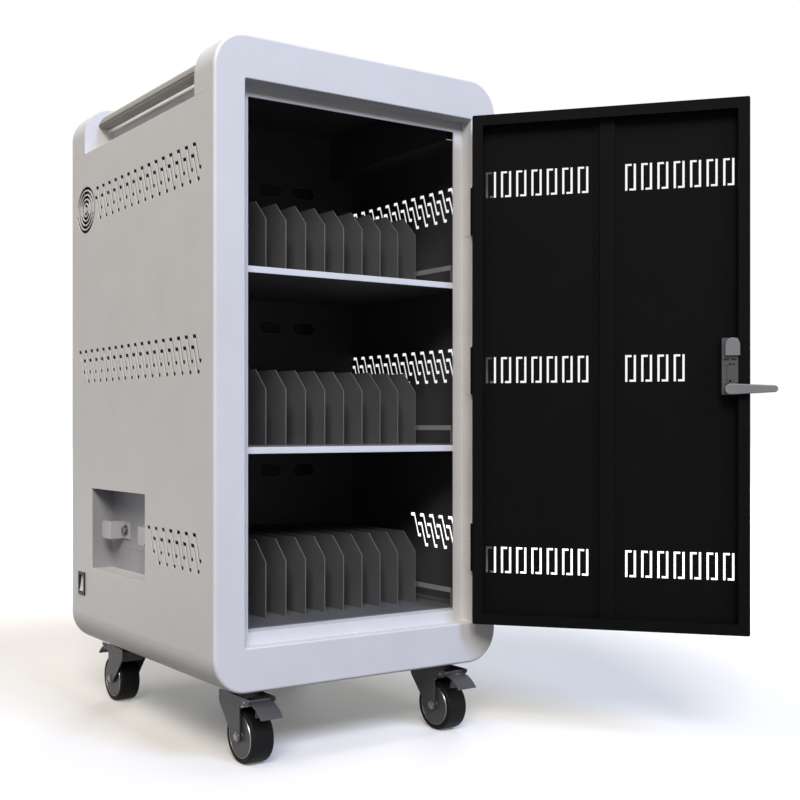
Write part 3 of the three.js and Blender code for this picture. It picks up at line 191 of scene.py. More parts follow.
# Casters
WHEEL_HALF = 23 * MM
WHEEL_SHOULDER = 4.5 * MM
HUB_R = 40 * MM
AXLE_R = 5 * MM
FORK_IN = 26 * MM
FORK_T = 3 * MM
CROWN_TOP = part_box("caster_fork_front_left")[0].z + 86 * MM
CROWN_T = 10 * MM
RACE_R = 27 * MM
CUP_R = 35 * MM
BACK_PLATE_Y = 24 * MM
BACK_PLATE_H = 30 * MM
LEG_BACK = 37 * MM
LEG_SKIRT = 22 * MM
LEG_KNEE_BACK = 32 * MM
LEG_KNEE_RISE = 12 * MM
LEG_FOOT = 10 * MM
ARM_R = 7 * MM
ARM_REACH = 15 * MM
PEDAL_R = 64 * MM
PEDAL_T = 3 * MM
PEDAL_SIDE = 3 * MM
PEDAL_PIN_R = 2.5 * MM

# Materials


def linear(code):
    """An sRGB hex colour as the linear colour that a shader takes."""
    parts = [int(code[i:i + 2], 16) / 255 for i in (1, 3, 5)]
    return (*[c / 12.92 if c <= 0.04045 else ((c + 0.055) / 1.055) ** 2.4 for c in parts], 1)


def add_node(tree, kind, settings=None, inputs=None):
    """A new node with its settings, and its inputs set or linked."""
    node = tree.nodes.new(kind)
    for key, value in (settings or {}).items():
        setattr(node, key, value)
    for key, value in (inputs or {}).items():
        if isinstance(value, bpy.types.NodeSocket):
            tree.links.new(value, node.inputs[key])
        else:
            node.inputs[key].default_value = value
    return node


def surface(name, light, dark, grain, depth, rough, metallic=0.0, stretch=(1, 1, 1), specular=0.5):
    """A finish whose colour drifts between two shades over a hand's breadth, with a grain of the size and
    depth given in millimetres and a roughness that follows the grain and the drift."""
    material = bpy.data.materials.new(name)
    material.use_nodes = True
    tree = material.node_tree
    shader = tree.nodes["Principled BSDF"]
    place = add_node(tree, "ShaderNodeTexCoord")
    turned = add_node(tree, "ShaderNodeMapping", inputs={"Vector": place.outputs["Object"], "Scale": stretch})
    drift = add_node(tree, "ShaderNodeTexNoise", inputs={
        "Vector": place.outputs["Object"], "Scale": 1 / (90 * MM), "Detail": 3.0})
    shades = add_node(tree, "ShaderNodeValToRGB", inputs={"Fac": drift.outputs["Fac"]})
    shades.color_ramp.elements[0].position = 0.3
    shades.color_ramp.elements[0].color = linear(dark)
    shades.color_ramp.elements[1].position = 0.7
    shades.color_ramp.elements[1].color = linear(light)
    peel = add_node(tree, "ShaderNodeTexNoise", inputs={
        "Vector": turned.outputs["Vector"], "Scale": 1 / (grain * MM), "Detail": 2.0})
    wear = add_node(tree, "ShaderNodeMath", {"operation": "MULTIPLY_ADD"}, {
        0: drift.outputs["Fac"], 1: 0.4, 2: peel.outputs["Fac"]})
    gloss = add_node(tree, "ShaderNodeMapRange", inputs={
        "Value": wear.outputs["Value"], "From Min": 0.4, "From Max": 1.0, "To Min": rough[0], "To Max": rough[1]})
    bump = add_node(tree, "ShaderNodeBump", inputs={
        "Height": peel.outputs["Fac"], "Strength": 1.0, "Distance": depth * MM})
    tree.links.new(shades.outputs["Color"], shader.inputs["Base Color"])
    tree.links.new(gloss.outputs["Result"], shader.inputs["Roughness"])
    tree.links.new(bump.outputs["Normal"], shader.inputs["Normal"])
    shader.inputs["Metallic"].default_value = metallic
    shader.inputs["Specular IOR Level"].default_value = specular
    return material


# Powder coat: baked paint with a soft orange peel. Its peel is near 1 mm; 3 mm is drawn so that it shows.
GREY_COAT = surface("light_grey_powder_coat", "#cccccd", "#c7c7c8", 3, 0.05, (0.34, 0.46))
# Painted shade: a dark coat for the inside of the bays, the inner faces of the skins and the undersides of the lid and
# shelves, standing in for the shade that falls there
BAY_SHADE_COAT = surface("bay_painted_shade_coat", "#464648", "#3e3e40", 3, 0.05, (0.55, 0.7), specular=0.2)
RACK_COAT = surface("rack_grey_powder_coat", "#8f8f91", "#868688", 3, 0.05, (0.42, 0.54))
FIN_COAT = surface("divider_dark_powder_coat", "#5d5d5f", "#555557", 3, 0.05, (0.42, 0.54))
# Painted shade: a darker grey for the cord recess, standing in for the shade inside it
RECESS_SHADE_COAT = surface("recess_painted_shade_coat", "#9b9ba1", "#94949a", 3, 0.05, (0.4, 0.52))
HOOK_COAT = surface("hook_grey_powder_coat", "#b3b3b7", "#acacb0", 2.5, 0.05, (0.36, 0.48))
SHELF_COAT = surface("shelf_grey_powder_coat", "#d3d4d8", "#cccdd1", 3, 0.05, (0.34, 0.44))
BLACK_COAT = surface("black_powder_coat", "#0c0c0d", "#0a0a0a", 2.5, 0.06, (0.5, 0.64), specular=0.03)
# Moulded grip: olive grey nylon with a spark-eroded grain of 2 mm as drawn
GRIP_NYLON = surface("olive_grey_nylon", "#87857b", "#7f7d73", 2, 0.08, (0.46, 0.6))
# Ground bar: bright steel with fine marks that run along its length
BRIGHT_BAR = surface("ground_steel_bar", "#e9e9e6", "#dededb", 2, 0.01, (0.34, 0.46), 0.7, (1, 0.04, 1))
# Pressed steel in a dark grey dip coat, bright zinc on its fasteners, and die-cast alloy in silver lacquer
DIP_COAT = surface("dark_dip_coated_pressing", "#403f41", "#39383a", 4, 0.04, (0.34, 0.48), 0.1)
BRIGHT_ZINC = surface("bright_zinc_fastener", "#9a9a98", "#8f8f8d", 1.5, 0.02, (0.22, 0.36), 0.9)
CAST_ALLOY = surface("die_cast_alloy", "#636466", "#5c5d5f", 2.5, 0.05, (0.36, 0.48), 0.2)
DARK_ALLOY = surface("dark_cast_alloy", "#2f3032", "#2a2b2d", 2.5, 0.05, (0.4, 0.52), 0.2)
# Mouldings: black nylon, pale switch cap, and the caster's rubber and hub
BLACK_NYLON = surface("black_nylon", "#131314", "#0f0f10", 2, 0.06, (0.42, 0.56), specular=0.3)
PALE_CAP = surface("pale_switch_cap", "#dededc", "#d6d6d4", 2, 0.02, (0.24, 0.32))
TREAD_RUBBER = surface("black_tread_rubber", "#0b0b0c", "#080809", 2.5, 0.1, (0.46, 0.62), specular=0.14)
HUB_NYLON = surface("dark_grey_hub_nylon", "#3a3a3c", "#333335", 2, 0.05, (0.36, 0.48))

# Modelling

ALONG = {
    "x": Matrix(((0, 0, 1), (1, 0, 0), (0, 1, 0))),
    "y": Matrix(((1, 0, 0), (0, 0, 1), (0, 1, 0))),
    "z": Matrix(((1, 0, 0), (0, 1, 0), (0, 0, 1)))}


def rectangle(a0, b0, a1, b1):
    return [(a0, b0), (a1, b0), (a1, b1), (a0, b1)]


def arc(a, b, radius, start, end, steps):
    """Points on an arc, its angles in degrees."""
    angles = [math.radians(start + (end - start) * i / steps) for i in range(steps + 1)]
    return [(a + radius * math.cos(t), b + radius * math.sin(t)) for t in angles]


def circle(a, b, radius, steps=32):
    return arc(a, b, radius, 0, 360, steps)[:-1]


def bow(start, pull, end, steps):
    """Points on a curve from start to end, drawn towards the pull point."""
    fractions = [i / steps for i in range(steps + 1)]
    return [tuple(Vector(start) * (1 - t) ** 2 + Vector(pull) * 2 * t * (1 - t) + Vector(end) * t * t)
            for t in fractions]


def filleted(corners, radius, steps=ARC_STEPS):
    """The outline with each corner rounded; a corner may give its own radius as a third number."""
    points = []
    for i, corner in enumerate(corners):
        here = Vector(corner[:2])
        to_last = (Vector(corners[i - 1][:2]) - here)
        to_next = (Vector(corners[(i + 1) % len(corners)][:2]) - here)
        own = corner[2] if len(corner) > 2 else radius
        half = to_last.angle(to_next) / 2
        reach = min(own / math.tan(half), to_last.length * 0.49, to_next.length * 0.49)
        points += bow(here + to_last.normalized() * reach, here, here + to_next.normalized() * reach, steps)
    return points


def rounded(bm, edges, offset, segments=2):
    bmesh.ops.bevel(bm, geom=list(edges), offset=offset, segments=segments, profile=0.5, affect="EDGES",
                    clamp_overlap=True, material=-1)


def slab(bm, outlines, axis, start, end, edge=0.0, segments=2):
    """Fills the first outline less the others, thickens it along the axis and rounds its two rims."""
    turn = ALONG[axis]
    edges = []
    for points in outlines:
        verts = [bm.verts.new(turn @ Vector((a, b, start))) for a, b in points]
        edges += [bm.edges.new((verts[i - 1], verts[i])) for i in range(len(verts))]
    if len(outlines) == 1:
        faces = [bm.faces.new(verts)]
    else:
        filled = bmesh.ops.triangle_fill(bm, use_beauty=True, use_dissolve=False, edges=edges)
        faces = [part for part in filled["geom"] if isinstance(part, bmesh.types.BMFace)]
    grown = bmesh.ops.extrude_face_region(bm, geom=faces, use_keep_orig=True)["geom"]
    lid = [part for part in grown if isinstance(part, bmesh.types.BMVert)]
    bmesh.ops.translate(bm, vec=turn @ Vector((0, 0, end - start)), verts=lid)
    if edge:
        rim = [part for part in grown if isinstance(part, bmesh.types.BMEdge)] + edges
        rounded(bm, [part for part in rim if part.is_valid and len(part.link_faces) == 2
                     and part.calc_face_angle(0) > 1], edge, segments)


def rod(bm, centre, axis, radius, length, edge=0.0, steps=32):
    """A bar with its middle at the centre, lying along the axis, its ends rounded; six steps make it a hexagon."""
    turn = ALONG[axis].to_4x4()
    made = bmesh.ops.create_cone(bm, cap_ends=True, segments=steps, radius1=radius, radius2=radius,
                                 depth=length, matrix=Matrix.Translation(centre) @ turn)
    if edge:
        rounded(bm, {e for v in made["verts"] for e in v.link_edges if e.calc_face_angle(0) > 1.1}, edge)


def screw_head(bm, centre, axis, radius, height):
    """A pan head with a socket, its underside at the centre and its top the given height along the axis."""
    way = ALONG[axis] @ Vector((0, 0, math.copysign(1, height)))
    middle = Vector(centre) + way * abs(height) / 2
    made = bmesh.ops.create_cone(bm, cap_ends=True, segments=24, radius1=radius, radius2=radius,
                                 depth=abs(height), matrix=Matrix.Translation(middle) @ ALONG[axis].to_4x4())
    bm.normal_update()
    top = next(f for v in made["verts"] for f in v.link_faces if len(f.verts) > 4
               and (f.calc_center_median() - middle).dot(way) > 0)
    bmesh.ops.inset_region(bm, faces=[top], thickness=radius * 0.22, depth=0, use_even_offset=True)
    bmesh.ops.translate(bm, vec=way * abs(height) * 0.12, verts=top.verts)
    bmesh.ops.inset_region(bm, faces=[top], thickness=radius * 0.26, depth=0, use_even_offset=True)
    socket = bmesh.ops.extrude_face_region(bm, geom=[top])["geom"]
    floor = [part for part in socket if isinstance(part, bmesh.types.BMVert)]
    bmesh.ops.delete(bm, geom=[top], context="FACES_ONLY")
    bmesh.ops.translate(bm, vec=way * -abs(height) * 0.6, verts=floor)


def turned(bm, profile, centre, steps=64):
    """A closed profile of (radius, x) points spun about the X axis through the centre."""
    verts = [bm.verts.new(Vector(centre) + Vector((x, 0, r))) for r, x in profile]
    edges = [bm.edges.new((verts[i - 1], verts[i])) for i in range(len(verts))]
    bmesh.ops.spin(bm, geom=verts + edges, cent=centre, axis=(1, 0, 0), angle=2 * math.pi, steps=steps,
                   use_merge=True, use_duplicate=False)


def softened(node, edge, segments=2):
    """A copy of a CAD node with its flat triangles joined and its edges rounded."""
    bm = bmesh.new()
    bm.from_mesh(NODES[node].data)
    bmesh.ops.remove_doubles(bm, verts=bm.verts, dist=HAIR / 10)
    bmesh.ops.dissolve_limit(bm, angle_limit=math.radians(1), verts=bm.verts, edges=bm.edges)
    rounded(bm, [e for e in bm.edges if len(e.link_faces) == 2 and e.calc_face_angle(0) > math.radians(35)],
            edge, segments)
    return bm


def settle(piece):
    """Works the piece's modifiers into its mesh."""
    bpy.context.view_layer.update()
    piece.data = bpy.data.meshes.new_from_object(piece.evaluated_get(bpy.context.evaluated_depsgraph_get()))
    piece.modifiers.clear()


def add_piece(bm, name, finish, body, replaced=(), place=None, wall=0.0, lining=None, lined=None):
    """The finished mesh as a piece that rides on a body and stands for the CAD nodes given. A lining is a
    second finish, for the faces that the test called lined picks out."""
    bmesh.ops.remove_doubles(bm, verts=bm.verts, dist=HAIR / 100)
    if not wall:
        bmesh.ops.recalc_face_normals(bm, faces=bm.faces)
    if place:
        bmesh.ops.transform(bm, matrix=place, verts=bm.verts)
    mesh = bpy.data.meshes.new(name)
    bm.to_mesh(mesh)
    bm.free()
    piece = bpy.data.objects.new(name, mesh)
    bpy.context.scene.collection.objects.link(piece)
    if wall:
        thick = piece.modifiers.new("wall", "SOLIDIFY")
        thick.thickness = wall
        thick.offset = -1
        thick.use_even_offset = True
        settle(piece)
    piece.data.materials.append(finish)
    if lining:
        piece.data.materials.append(lining)
        for face in piece.data.polygons:
            face.material_index = int(lined(face))
    piece.data.shade_smooth()
    piece.data.set_sharp_from_angle(angle=math.radians(35))
    flats = piece.modifiers.new("flat_faces", "WEIGHTED_NORMAL")
    flats.keep_sharp = True
    settle(piece)
    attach(piece, body)
    if replaced:
        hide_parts(*replaced)
    return piece


# Cabinet skins


def ring(half_w, low, high, radius, y):
    """Points round an upright rectangle with round corners, with one on each side where the pocket floor
    meets it."""
    level = min(Z_NOTCH, high - radius - FOLD)
    points = arc(half_w - radius, low + radius, radius, -90, 0, CORNER_STEPS)
    points += [(half_w, level)]
    points += arc(half_w - radius, high - radius, radius, 0, 90, CORNER_STEPS)
    points += arc(radius - half_w, high - radius, radius, 90, 180, CORNER_STEPS)
    points += [(-half_w, level)]
    points += arc(radius - half_w, low + radius, radius, 180, 270, CORNER_STEPS)
    return [Vector((x, y, z)) for x, z in points]


def loft(bm, stations):
    """A skin drawn out from the first closed loop of points to each of the next; gives its first edges."""
    verts = [bm.verts.new(point) for point in stations[0]]
    first = edges = [bm.edges.new((verts[i - 1], verts[i])) for i in range(len(verts))]
    for points in stations[1:]:
        grown = bmesh.ops.extrude_edge_only(bm, edges=edges)["geom"]
        fresh = {part for part in grown if isinstance(part, bmesh.types.BMVert)}
        edges = [part for part in grown if isinstance(part, bmesh.types.BMEdge) and set(part.verts) <= fresh]
        verts = [next(e.other_vert(v) for e in v.link_edges if e.other_vert(v) in fresh) for v in verts]
        for vert, point in zip(verts, points):
            vert.co = point
    return first


def frame_skin(bm):
    """The face, its rounded outer arris, the jamb of the rebate and the ledge that the door shuts against."""
    stations = [ring(HALF_W, Z_BOTTOM, Z_TOP, CORNER_R, FRONT + SEAM)]
    stations.append(ring(HALF_W, Z_BOTTOM, Z_TOP, CORNER_R, FRONT + ARRIS + HAIR))
    rounding = [math.radians(90 * i / ARC_STEPS) for i in range(ARC_STEPS + 1)]
    for angle in rounding:
        inset = ARRIS * (1 - math.cos(angle))
        depth = ARRIS * (1 - math.sin(angle))
        stations.append(
            ring(HALF_W - inset, Z_BOTTOM + inset, Z_TOP - inset, CORNER_R - inset, FRONT + depth))
    for angle in rounding:
        out = FOLD * (1 - math.sin(angle))
        depth = FOLD * (1 - math.cos(angle))
        stations.append(ring(OPEN_HALF + out, OPEN_LOW - out, OPEN_HIGH + out, FOLD + out, FRONT + depth))
    stations.append(ring(OPEN_HALF, OPEN_LOW, OPEN_HIGH, FOLD, FRONT + REBATE))
    inner = (OPEN_HALF - LEDGE, OPEN_LOW + LEDGE, OPEN_HIGH - LEDGE, FOLD)
    stations.append(ring(*inner, FRONT + REBATE))
    stations.append(ring(*inner, FRONT + REBATE + FOLD))
    outer_edges = loft(bm, stations)
    crown = [e for e in outer_edges if min(v.co.z for v in e.verts) > Z_NOTCH - HAIR]
    foot = [e for e in outer_edges if max(v.co.z for v in e.verts) < Z_ROLL + HAIR]
    for edges, back in ((crown, MID_FROM - LAP), (foot, MID_FROM)):
        grown = bmesh.ops.extrude_edge_only(bm, edges=edges)["geom"]
        bmesh.ops.translate(bm, vec=(0, back - FRONT - SEAM, 0),
                            verts=[part for part in grown if isinstance(part, bmesh.types.BMVert)])


def pocket_end(bm):
    """The plate that closes the frame towards the two grip pockets and above the lid."""
    wall = POCKET_WALL - SHEET
    right = arc(HALF_W - CORNER_R, Z_TOP - CORNER_R, CORNER_R, 0, 90, CORNER_STEPS)
    outline = [(wall, Z_NOTCH), (HALF_W, Z_NOTCH), *right]
    outline += [(-x, z) for x, z in reversed(right)]
    outline += [(-HALF_W, Z_NOTCH), (-wall, Z_NOTCH), (-wall, Z_LID - SHEET), (wall, Z_LID - SHEET)]
    slab(bm, [outline], "y", MID_FROM - SHEET, MID_FROM, edge=0.7 * MM, segments=3)


def face_outward(bm):
    """Turns an open skin so that its frontmost face looks towards the front."""
    bmesh.ops.recalc_face_normals(bm, faces=bm.faces)
    bm.normal_update()
    front = min(bm.faces, key=lambda face: face.calc_center_median().y)
    if front.normal.y > 0:
        bmesh.ops.reverse_faces(bm, faces=bm.faces)


def add_frames():
    about = Matrix.Rotation(math.pi, 4, "Z")
    for label, place, inward in (("front", None, -1), ("rear", about, 1)):
        bm = bmesh.new()
        frame_skin(bm)
        face_outward(bm)
        add_piece(bm, f"{label}_frame_skin", GREY_COAT, "cabinet", [f"{label}_frame"], place, wall=SHEET)
        bm = bmesh.new()
        pocket_end(bm)
        # Painted shade: the plate's faces turned inwards and underneath take the dark bay coat
        add_piece(bm, f"{label}_frame_pocket_end", GREY_COAT, "cabinet", (), place,
                  lining=BAY_SHADE_COAT, lined=lambda face: face.normal.y * inward > 0.2 or face.normal.z < -0.3
                  or face.normal.x * face.center.x < -0.1)


def z_slot(y, z):
    end = VENT_LEAN + VENT_STROKE
    low = VENT_TICK_H - VENT_H
    points = [
        (-VENT_TICK_UPPER, 0), (VENT_STROKE, 0), (end, low), (end + VENT_TICK_LOWER, low),
        (end + VENT_TICK_LOWER, -VENT_H), (VENT_LEAN, -VENT_H), (0, -VENT_TICK_H),
        (-VENT_TICK_UPPER, -VENT_TICK_H)]
    return [(y - a, z + b) for a, b in points]


def vent_rows(top, limit):
    """Two staggered rows of Z slots from the front, as many as end short of the limit."""
    slots = []
    for start, z in ((0, top), (VENT_STAGGER, top - VENT_STEP)):
        y = FRONT + VENT_START + start
        while y + VENT_TICK_UPPER <= limit - VENT_MARGIN:
            slots.append(z_slot(y, z))
            y += VENT_PITCH
    return slots


def ring_slots():
    """Rings cut for the fan, each with one bridge left, ahead and behind by turns."""
    slots = []
    for i in range(FAN_RINGS):
        inner = FAN_HOLE_R + i * (FAN_RING + FAN_WEB)
        outer = inner + FAN_RING
        gap = math.degrees(FAN_BRIDGE / outer)
        start = (180 if i % 2 else 0) + gap
        end = start + 360 - 2 * gap
        slots.append(arc(FAN.y, FAN.z, outer, start, end, RING_STEPS)
                     + arc(FAN.y, FAN.z, inner, end, start, RING_STEPS))
    return slots


def add_side_panels():
    recess_low, recess_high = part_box("cord_recess_box")
    bezel_low, bezel_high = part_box("switch_bezel")
    rim = 4 * MM
    recess = rectangle(recess_low.y + SHEET, recess_low.z + SHEET, recess_high.y - SHEET, recess_high.z - SHEET)
    switch = rectangle(bezel_low.y + rim, bezel_low.z + rim, bezel_high.y - rim, bezel_high.z - rim)
    vents = (vent_rows(VENT_UPPER_Z, FAN.y - FAN_R + VENT_MARGIN * 2) + vent_rows(VENT_MIDDLE_Z, REAR - VENT_END)
             + vent_rows(VENT_LOWER_Z, recess_low.y))
    plain = [(FRONT + SEAM, Z_ROLL), (REAR - SEAM, Z_ROLL), (REAR - SEAM, Z_NOTCH), (MID_TO, Z_NOTCH),
             (MID_FROM, Z_NOTCH), (FRONT + SEAM, Z_NOTCH)]
    for label, side, holes in (("left", -1, [*vents, *ring_slots(), recess, switch]), ("right", 1, vents)):
        bm = bmesh.new()
        slab(bm, [plain, *holes], "x", side * (HALF_W - SHEET), side * HALF_W)
        outer = [e for e in bm.edges if all(abs(v.co.x) > HALF_W - HAIR for v in e.verts)]
        top = [e for e in outer if all(v.co.z > Z_NOTCH - HAIR and MID_FROM - HAIR < v.co.y < MID_TO + HAIR
                                       for v in e.verts)]
        mouth = [e for e in outer if e.calc_length() > 150 * MM and e.calc_face_angle(0) > 1
                 and all(recess_low.z < v.co.z < recess_high.z for v in e.verts)
                 and all(recess_low.y < v.co.y < recess_high.y for v in e.verts)]
        rounded(bm, top + mouth, PANEL_EDGE, 3)
        slots = [e for e in bm.edges if all(abs(v.co.x) > HALF_W - HAIR for v in e.verts)
                 and VENT_TICK_H / 4 < e.calc_length() < VENT_H and e.calc_face_angle(0) > 1]
        rounded(bm, slots, VENT_ROLL, 2)
        # Painted shade: the inner face of each sheet takes the dark bay coat
        add_piece(bm, f"{label}_panel_sheet", GREY_COAT, "cabinet", [f"{label}_side_panel"],
                  lining=BAY_SHADE_COAT, lined=lambda face: face.normal.x * side < -0.5)


def add_base_and_top():
    bm = bmesh.new()
    left = arc(CORNER_R - HALF_W, Z_ROLL, CORNER_R, 180, 270, CORNER_STEPS)
    right = arc(HALF_W - CORNER_R, Z_ROLL, CORNER_R, 270, 360, CORNER_STEPS)
    inner = arc(HALF_W - CORNER_R, Z_ROLL, CORNER_R - SHEET, 360, 270, CORNER_STEPS)
    inner += arc(CORNER_R - HALF_W, Z_ROLL, CORNER_R - SHEET, 270, 180, CORNER_STEPS)
    slab(bm, [left + right + inner], "y", MID_FROM, MID_TO)
    add_piece(bm, "base_pan_sheet", GREY_COAT, "cabinet", ["base_pan"])
    # Painted shade: the lid's underside and inward faces take the dark bay coat
    add_piece(softened("top_panel", 0.8 * MM), "top_panel_sheet", GREY_COAT, "cabinet", ["top_panel"],
              lining=BAY_SHADE_COAT, lined=lambda face: face.normal.z < -0.5 or face.normal.x * face.center.x < -0.1)


def add_grips():
    low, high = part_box("right_grip_bar")
    groove = NOSE_GROOVE
    lip = low.z + NOSE_LIP
    crown = bow((low.x, high.z), (low.x + NOSE_CROWN, high.z - NOSE_CROWN_DROP), (high.x, lip), NOSE_STEPS)
    under = [(high.x - groove, lip), (high.x - groove, lip - groove), (high.x, lip - groove),
             (high.x - groove, low.z + groove), (high.x - 2 * groove, low.z), (low.x, low.z + NOSE_UNDERCUT)]
    for label, side in (("left", -1), ("right", 1)):
        bm = bmesh.new()
        slab(bm, [[(side * x, z) for x, z in crown + under]], "y", MID_FROM + HAIR, MID_TO - HAIR)
        add_piece(bm, f"{label}_grip_moulding", GRIP_NYLON, "cabinet", [f"{label}_grip_bar"])
        rod_low, rod_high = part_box(f"{label}_grip_rod")
        bm = bmesh.new()
        rod(bm, (rod_low + rod_high) / 2, "y", (rod_high.z - rod_low.z) / 2, rod_high.y - rod_low.y)
        add_piece(bm, f"{label}_grip_bar_rod", BRIGHT_BAR, "cabinet", [f"{label}_grip_rod"])


def add_interior():
    # Painted shade: the undersides of the bay floor and shelves take the dark bay coat
    for node in ("bay_floor", "lower_shelf", "upper_shelf"):
        add_piece(softened(node, 0.8 * MM), f"{node}_sheet", SHELF_COAT, "cabinet", [node],
                  lining=BAY_SHADE_COAT, lined=lambda face: face.normal.z < -0.5 and face.area > 1e-3)
    for node in ("lower_rack", "middle_rack", "upper_rack"):
        add_piece(softened(node, 0.5 * MM), f"{node}_dividers", FIN_COAT, "cabinet", [node],
                  lining=RACK_COAT, lined=lambda face: abs(face.center.x) > OPEN_HALF - LEDGE)
    # Painted shade: the partition is all in the dark bay coat
    add_piece(softened("partition_panel", 0.4 * MM, 1), "partition_sheet", BAY_SHADE_COAT, "cabinet", ["partition_panel"])
    for label in ("lower", "middle", "upper"):
        node = f"power_strip_{label}"
        add_piece(softened(node, 1.5 * MM), f"{node}_case", BLACK_NYLON, "cabinet", [node])


def hook_plate(bm, low, high, away):
    """A strip bent twice: a base on the recess's back wall, an arm and a tongue with rounded far corners."""
    back, face = high.x, low.x
    near, tip = (low.y, high.y) if away > 0 else (high.y, low.y)
    bend = near + away * HOOK_BASE
    inner = 1.5 * MM
    section = [
        (back - HOOK_T, near, 0), (back, near, 0), (back, bend, HOOK_BEND), (face + HOOK_T, bend, inner),
        (face + HOOK_T, tip, 0), (face, tip, 0), (face, bend - away * HOOK_T, HOOK_BEND),
        (back - HOOK_T, bend - away * HOOK_T, inner)]
    slab(bm, [filleted(section, 0)], "z", low.z, high.z)
    bmesh.ops.remove_doubles(bm, verts=bm.verts, dist=HAIR / 10)
    rounded(bm, [e for e in bm.edges if all(abs(v.co.y - tip) < HAIR for v in e.verts)
                 and abs(e.verts[0].co.z - e.verts[1].co.z) < HAIR], HOOK_CORNER, 6)
    rounded(bm, [e for e in bm.edges if len(e.link_faces) == 2 and e.calc_face_angle(0) > 1], 0.6 * MM)
    return Vector((back - HOOK_T, near + away * HOOK_BASE / 2, (low.z + high.z) / 2))


def add_rocker():
    """The pale rocker cap: tilted at rest, dished between its two ends and proud of its frame."""
    pivot = Vector(JOINTS["power_rocker_tip"]["pos_m"])
    half_w, half_h = ROCKER_W / 2, ROCKER_H / 2
    deep = ROCKER_T / 2
    face = bow((-deep - ROCKER_PROUD, half_h), (-deep + ROCKER_DISH, 0), (-deep - ROCKER_PROUD, -half_h), 12)
    bm = bmesh.new()
    slab(bm, [[(x, z) for x, z in face] + [(deep, deep - half_h), (deep, half_h - deep)]], "y",
         -half_w, half_w, edge=0.6 * MM)
    add_piece(bm, "switch_rocker_cap", PALE_CAP, "power_rocker", ["switch_rocker"],
              Matrix.Translation(pivot) @ Matrix.Rotation(ROCKER_TILT, 4, "Y"))


def add_side_fittings():
    # Painted shade and painted light: the recess walls take the darker recess coat for the shade inside, and its
    # upward faces take the light outer grey for the light falling on them
    add_piece(softened("cord_recess_box", 0.8 * MM), "cord_recess_tray", RECESS_SHADE_COAT, "cabinet", ["cord_recess_box"],
              lining=GREY_COAT, lined=lambda face: face.normal.z > 0.5)
    for end, away in (("front", -1), ("rear", 1)):
        node = f"cord_hook_{end}"
        bm = bmesh.new()
        seat = hook_plate(bm, *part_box(node), away)
        add_piece(bm, f"{node}_plate", HOOK_COAT, "cabinet", [node])
        bm = bmesh.new()
        rod(bm, seat - Vector((WASHER_T / 2, 0, 0)), "x", WASHER_R, WASHER_T, edge=0.4 * MM)
        add_piece(bm, f"{node}_washer", DIP_COAT, "cabinet")
        bm = bmesh.new()
        screw_head(bm, seat - Vector((WASHER_T, 0, 0)), "x", HOOK_SCREW_R, -HOOK_SCREW_H)
        add_piece(bm, f"{node}_screw", BRIGHT_ZINC, "cabinet")
    add_piece(softened("power_inlet", 0.6 * MM), "power_inlet_socket", BLACK_NYLON, "cabinet", ["power_inlet"])
    add_piece(softened("switch_bezel", 0.8 * MM), "switch_bezel_frame", BLACK_NYLON, "cabinet", ["switch_bezel"])
    add_rocker()
    add_piece(softened("fan_housing", 0.8 * MM), "fan_frame", BLACK_NYLON, "cabinet", ["fan_housing"])
    add_piece(softened("fan_rotor", 0.4 * MM, 1), "fan_blades", BLACK_NYLON, "fan", ["fan_rotor"])


# Doors

FRONT_DOOR = Matrix.Translation((HINGE.x, HINGE.y, 0)) @ Matrix.Rotation(DOOR_OPEN, 4, "Z")
REAR_DOOR = Matrix.Translation((-HINGE.x, -HINGE.y, 0)) @ Matrix.Rotation(math.pi, 4, "Z")


def vent_cell(x, z):
    """Two L slots that face each other, as one cell of a vent row."""
    high = [(0, 0), (CELL_TICK, 0), (CELL_TICK, -CELL_LINE), (CELL_LINE, -CELL_LINE), (CELL_LINE, -CELL_H),
            (0, -CELL_H)]
    low = [(CELL_W - a, -CELL_H - b) for a, b in high]
    return [[(x - a, z + b) for a, b in points] for points in (high, low)]


def door_vents(z, left_out):
    slots = []
    clear = STIFFENER_W / 2 + STIFFENER_FOOT + CELL_GAP
    for i in range(CELLS):
        slots += vent_cell(DOOR_EDGE - CELL_EDGE - i * CELL_PITCH, z)
        if i < CELLS - left_out:
            slots += vent_cell(DOOR_EDGE - DOOR_W / 2 - clear - i * CELL_PITCH, z)
    return slots


def door_pan(bm, holes):
    """The punched face of a door, and its folded rim with a lip round the inside."""
    x0, x1 = DOOR_FREE, DOOR_EDGE
    face = rectangle(x0 + SHEET, DOOR_LOW + SHEET, x1 - SHEET, DOOR_HIGH - SHEET)
    slab(bm, [face, *holes], "y", DOOR_OUTER, DOOR_OUTER + SHEET)
    rim = filleted(rectangle(x0, DOOR_LOW, x1, DOOR_HIGH), DOOR_CORNER)
    slab(bm, [rim, face], "y", DOOR_OUTER, DOOR_INNER, edge=1 * MM)
    mouth = filleted(rectangle(x0 + DOOR_LIP, DOOR_LOW + DOOR_LIP, x1 - DOOR_LIP, DOOR_HIGH - DOOR_LIP), DOOR_CORNER)
    slab(bm, [face, mouth], "y", DOOR_INNER - SHEET, DOOR_INNER)


def leaf_plate(bm, side, z):
    """The flat of a hinge leaf, drawn about the pin: on the frame's jamb or on the door's edge."""
    near = -DOOR_EDGE - LEAF_T if side > 0 else DOOR_EDGE + HAIR
    plate = rectangle(near, z - HINGE_L / 2, near + LEAF_T, z + HINGE_L / 2)
    slab(bm, [plate], "y", HINGE_R * 0.6, DOOR_OUTER + LEAF_W, edge=HAIR, segments=1)


def knuckle(bm, low, high):
    rod(bm, Vector((0, 0, (low + high) / 2)), "z", HINGE_R, high - low, edge=0.8 * MM)


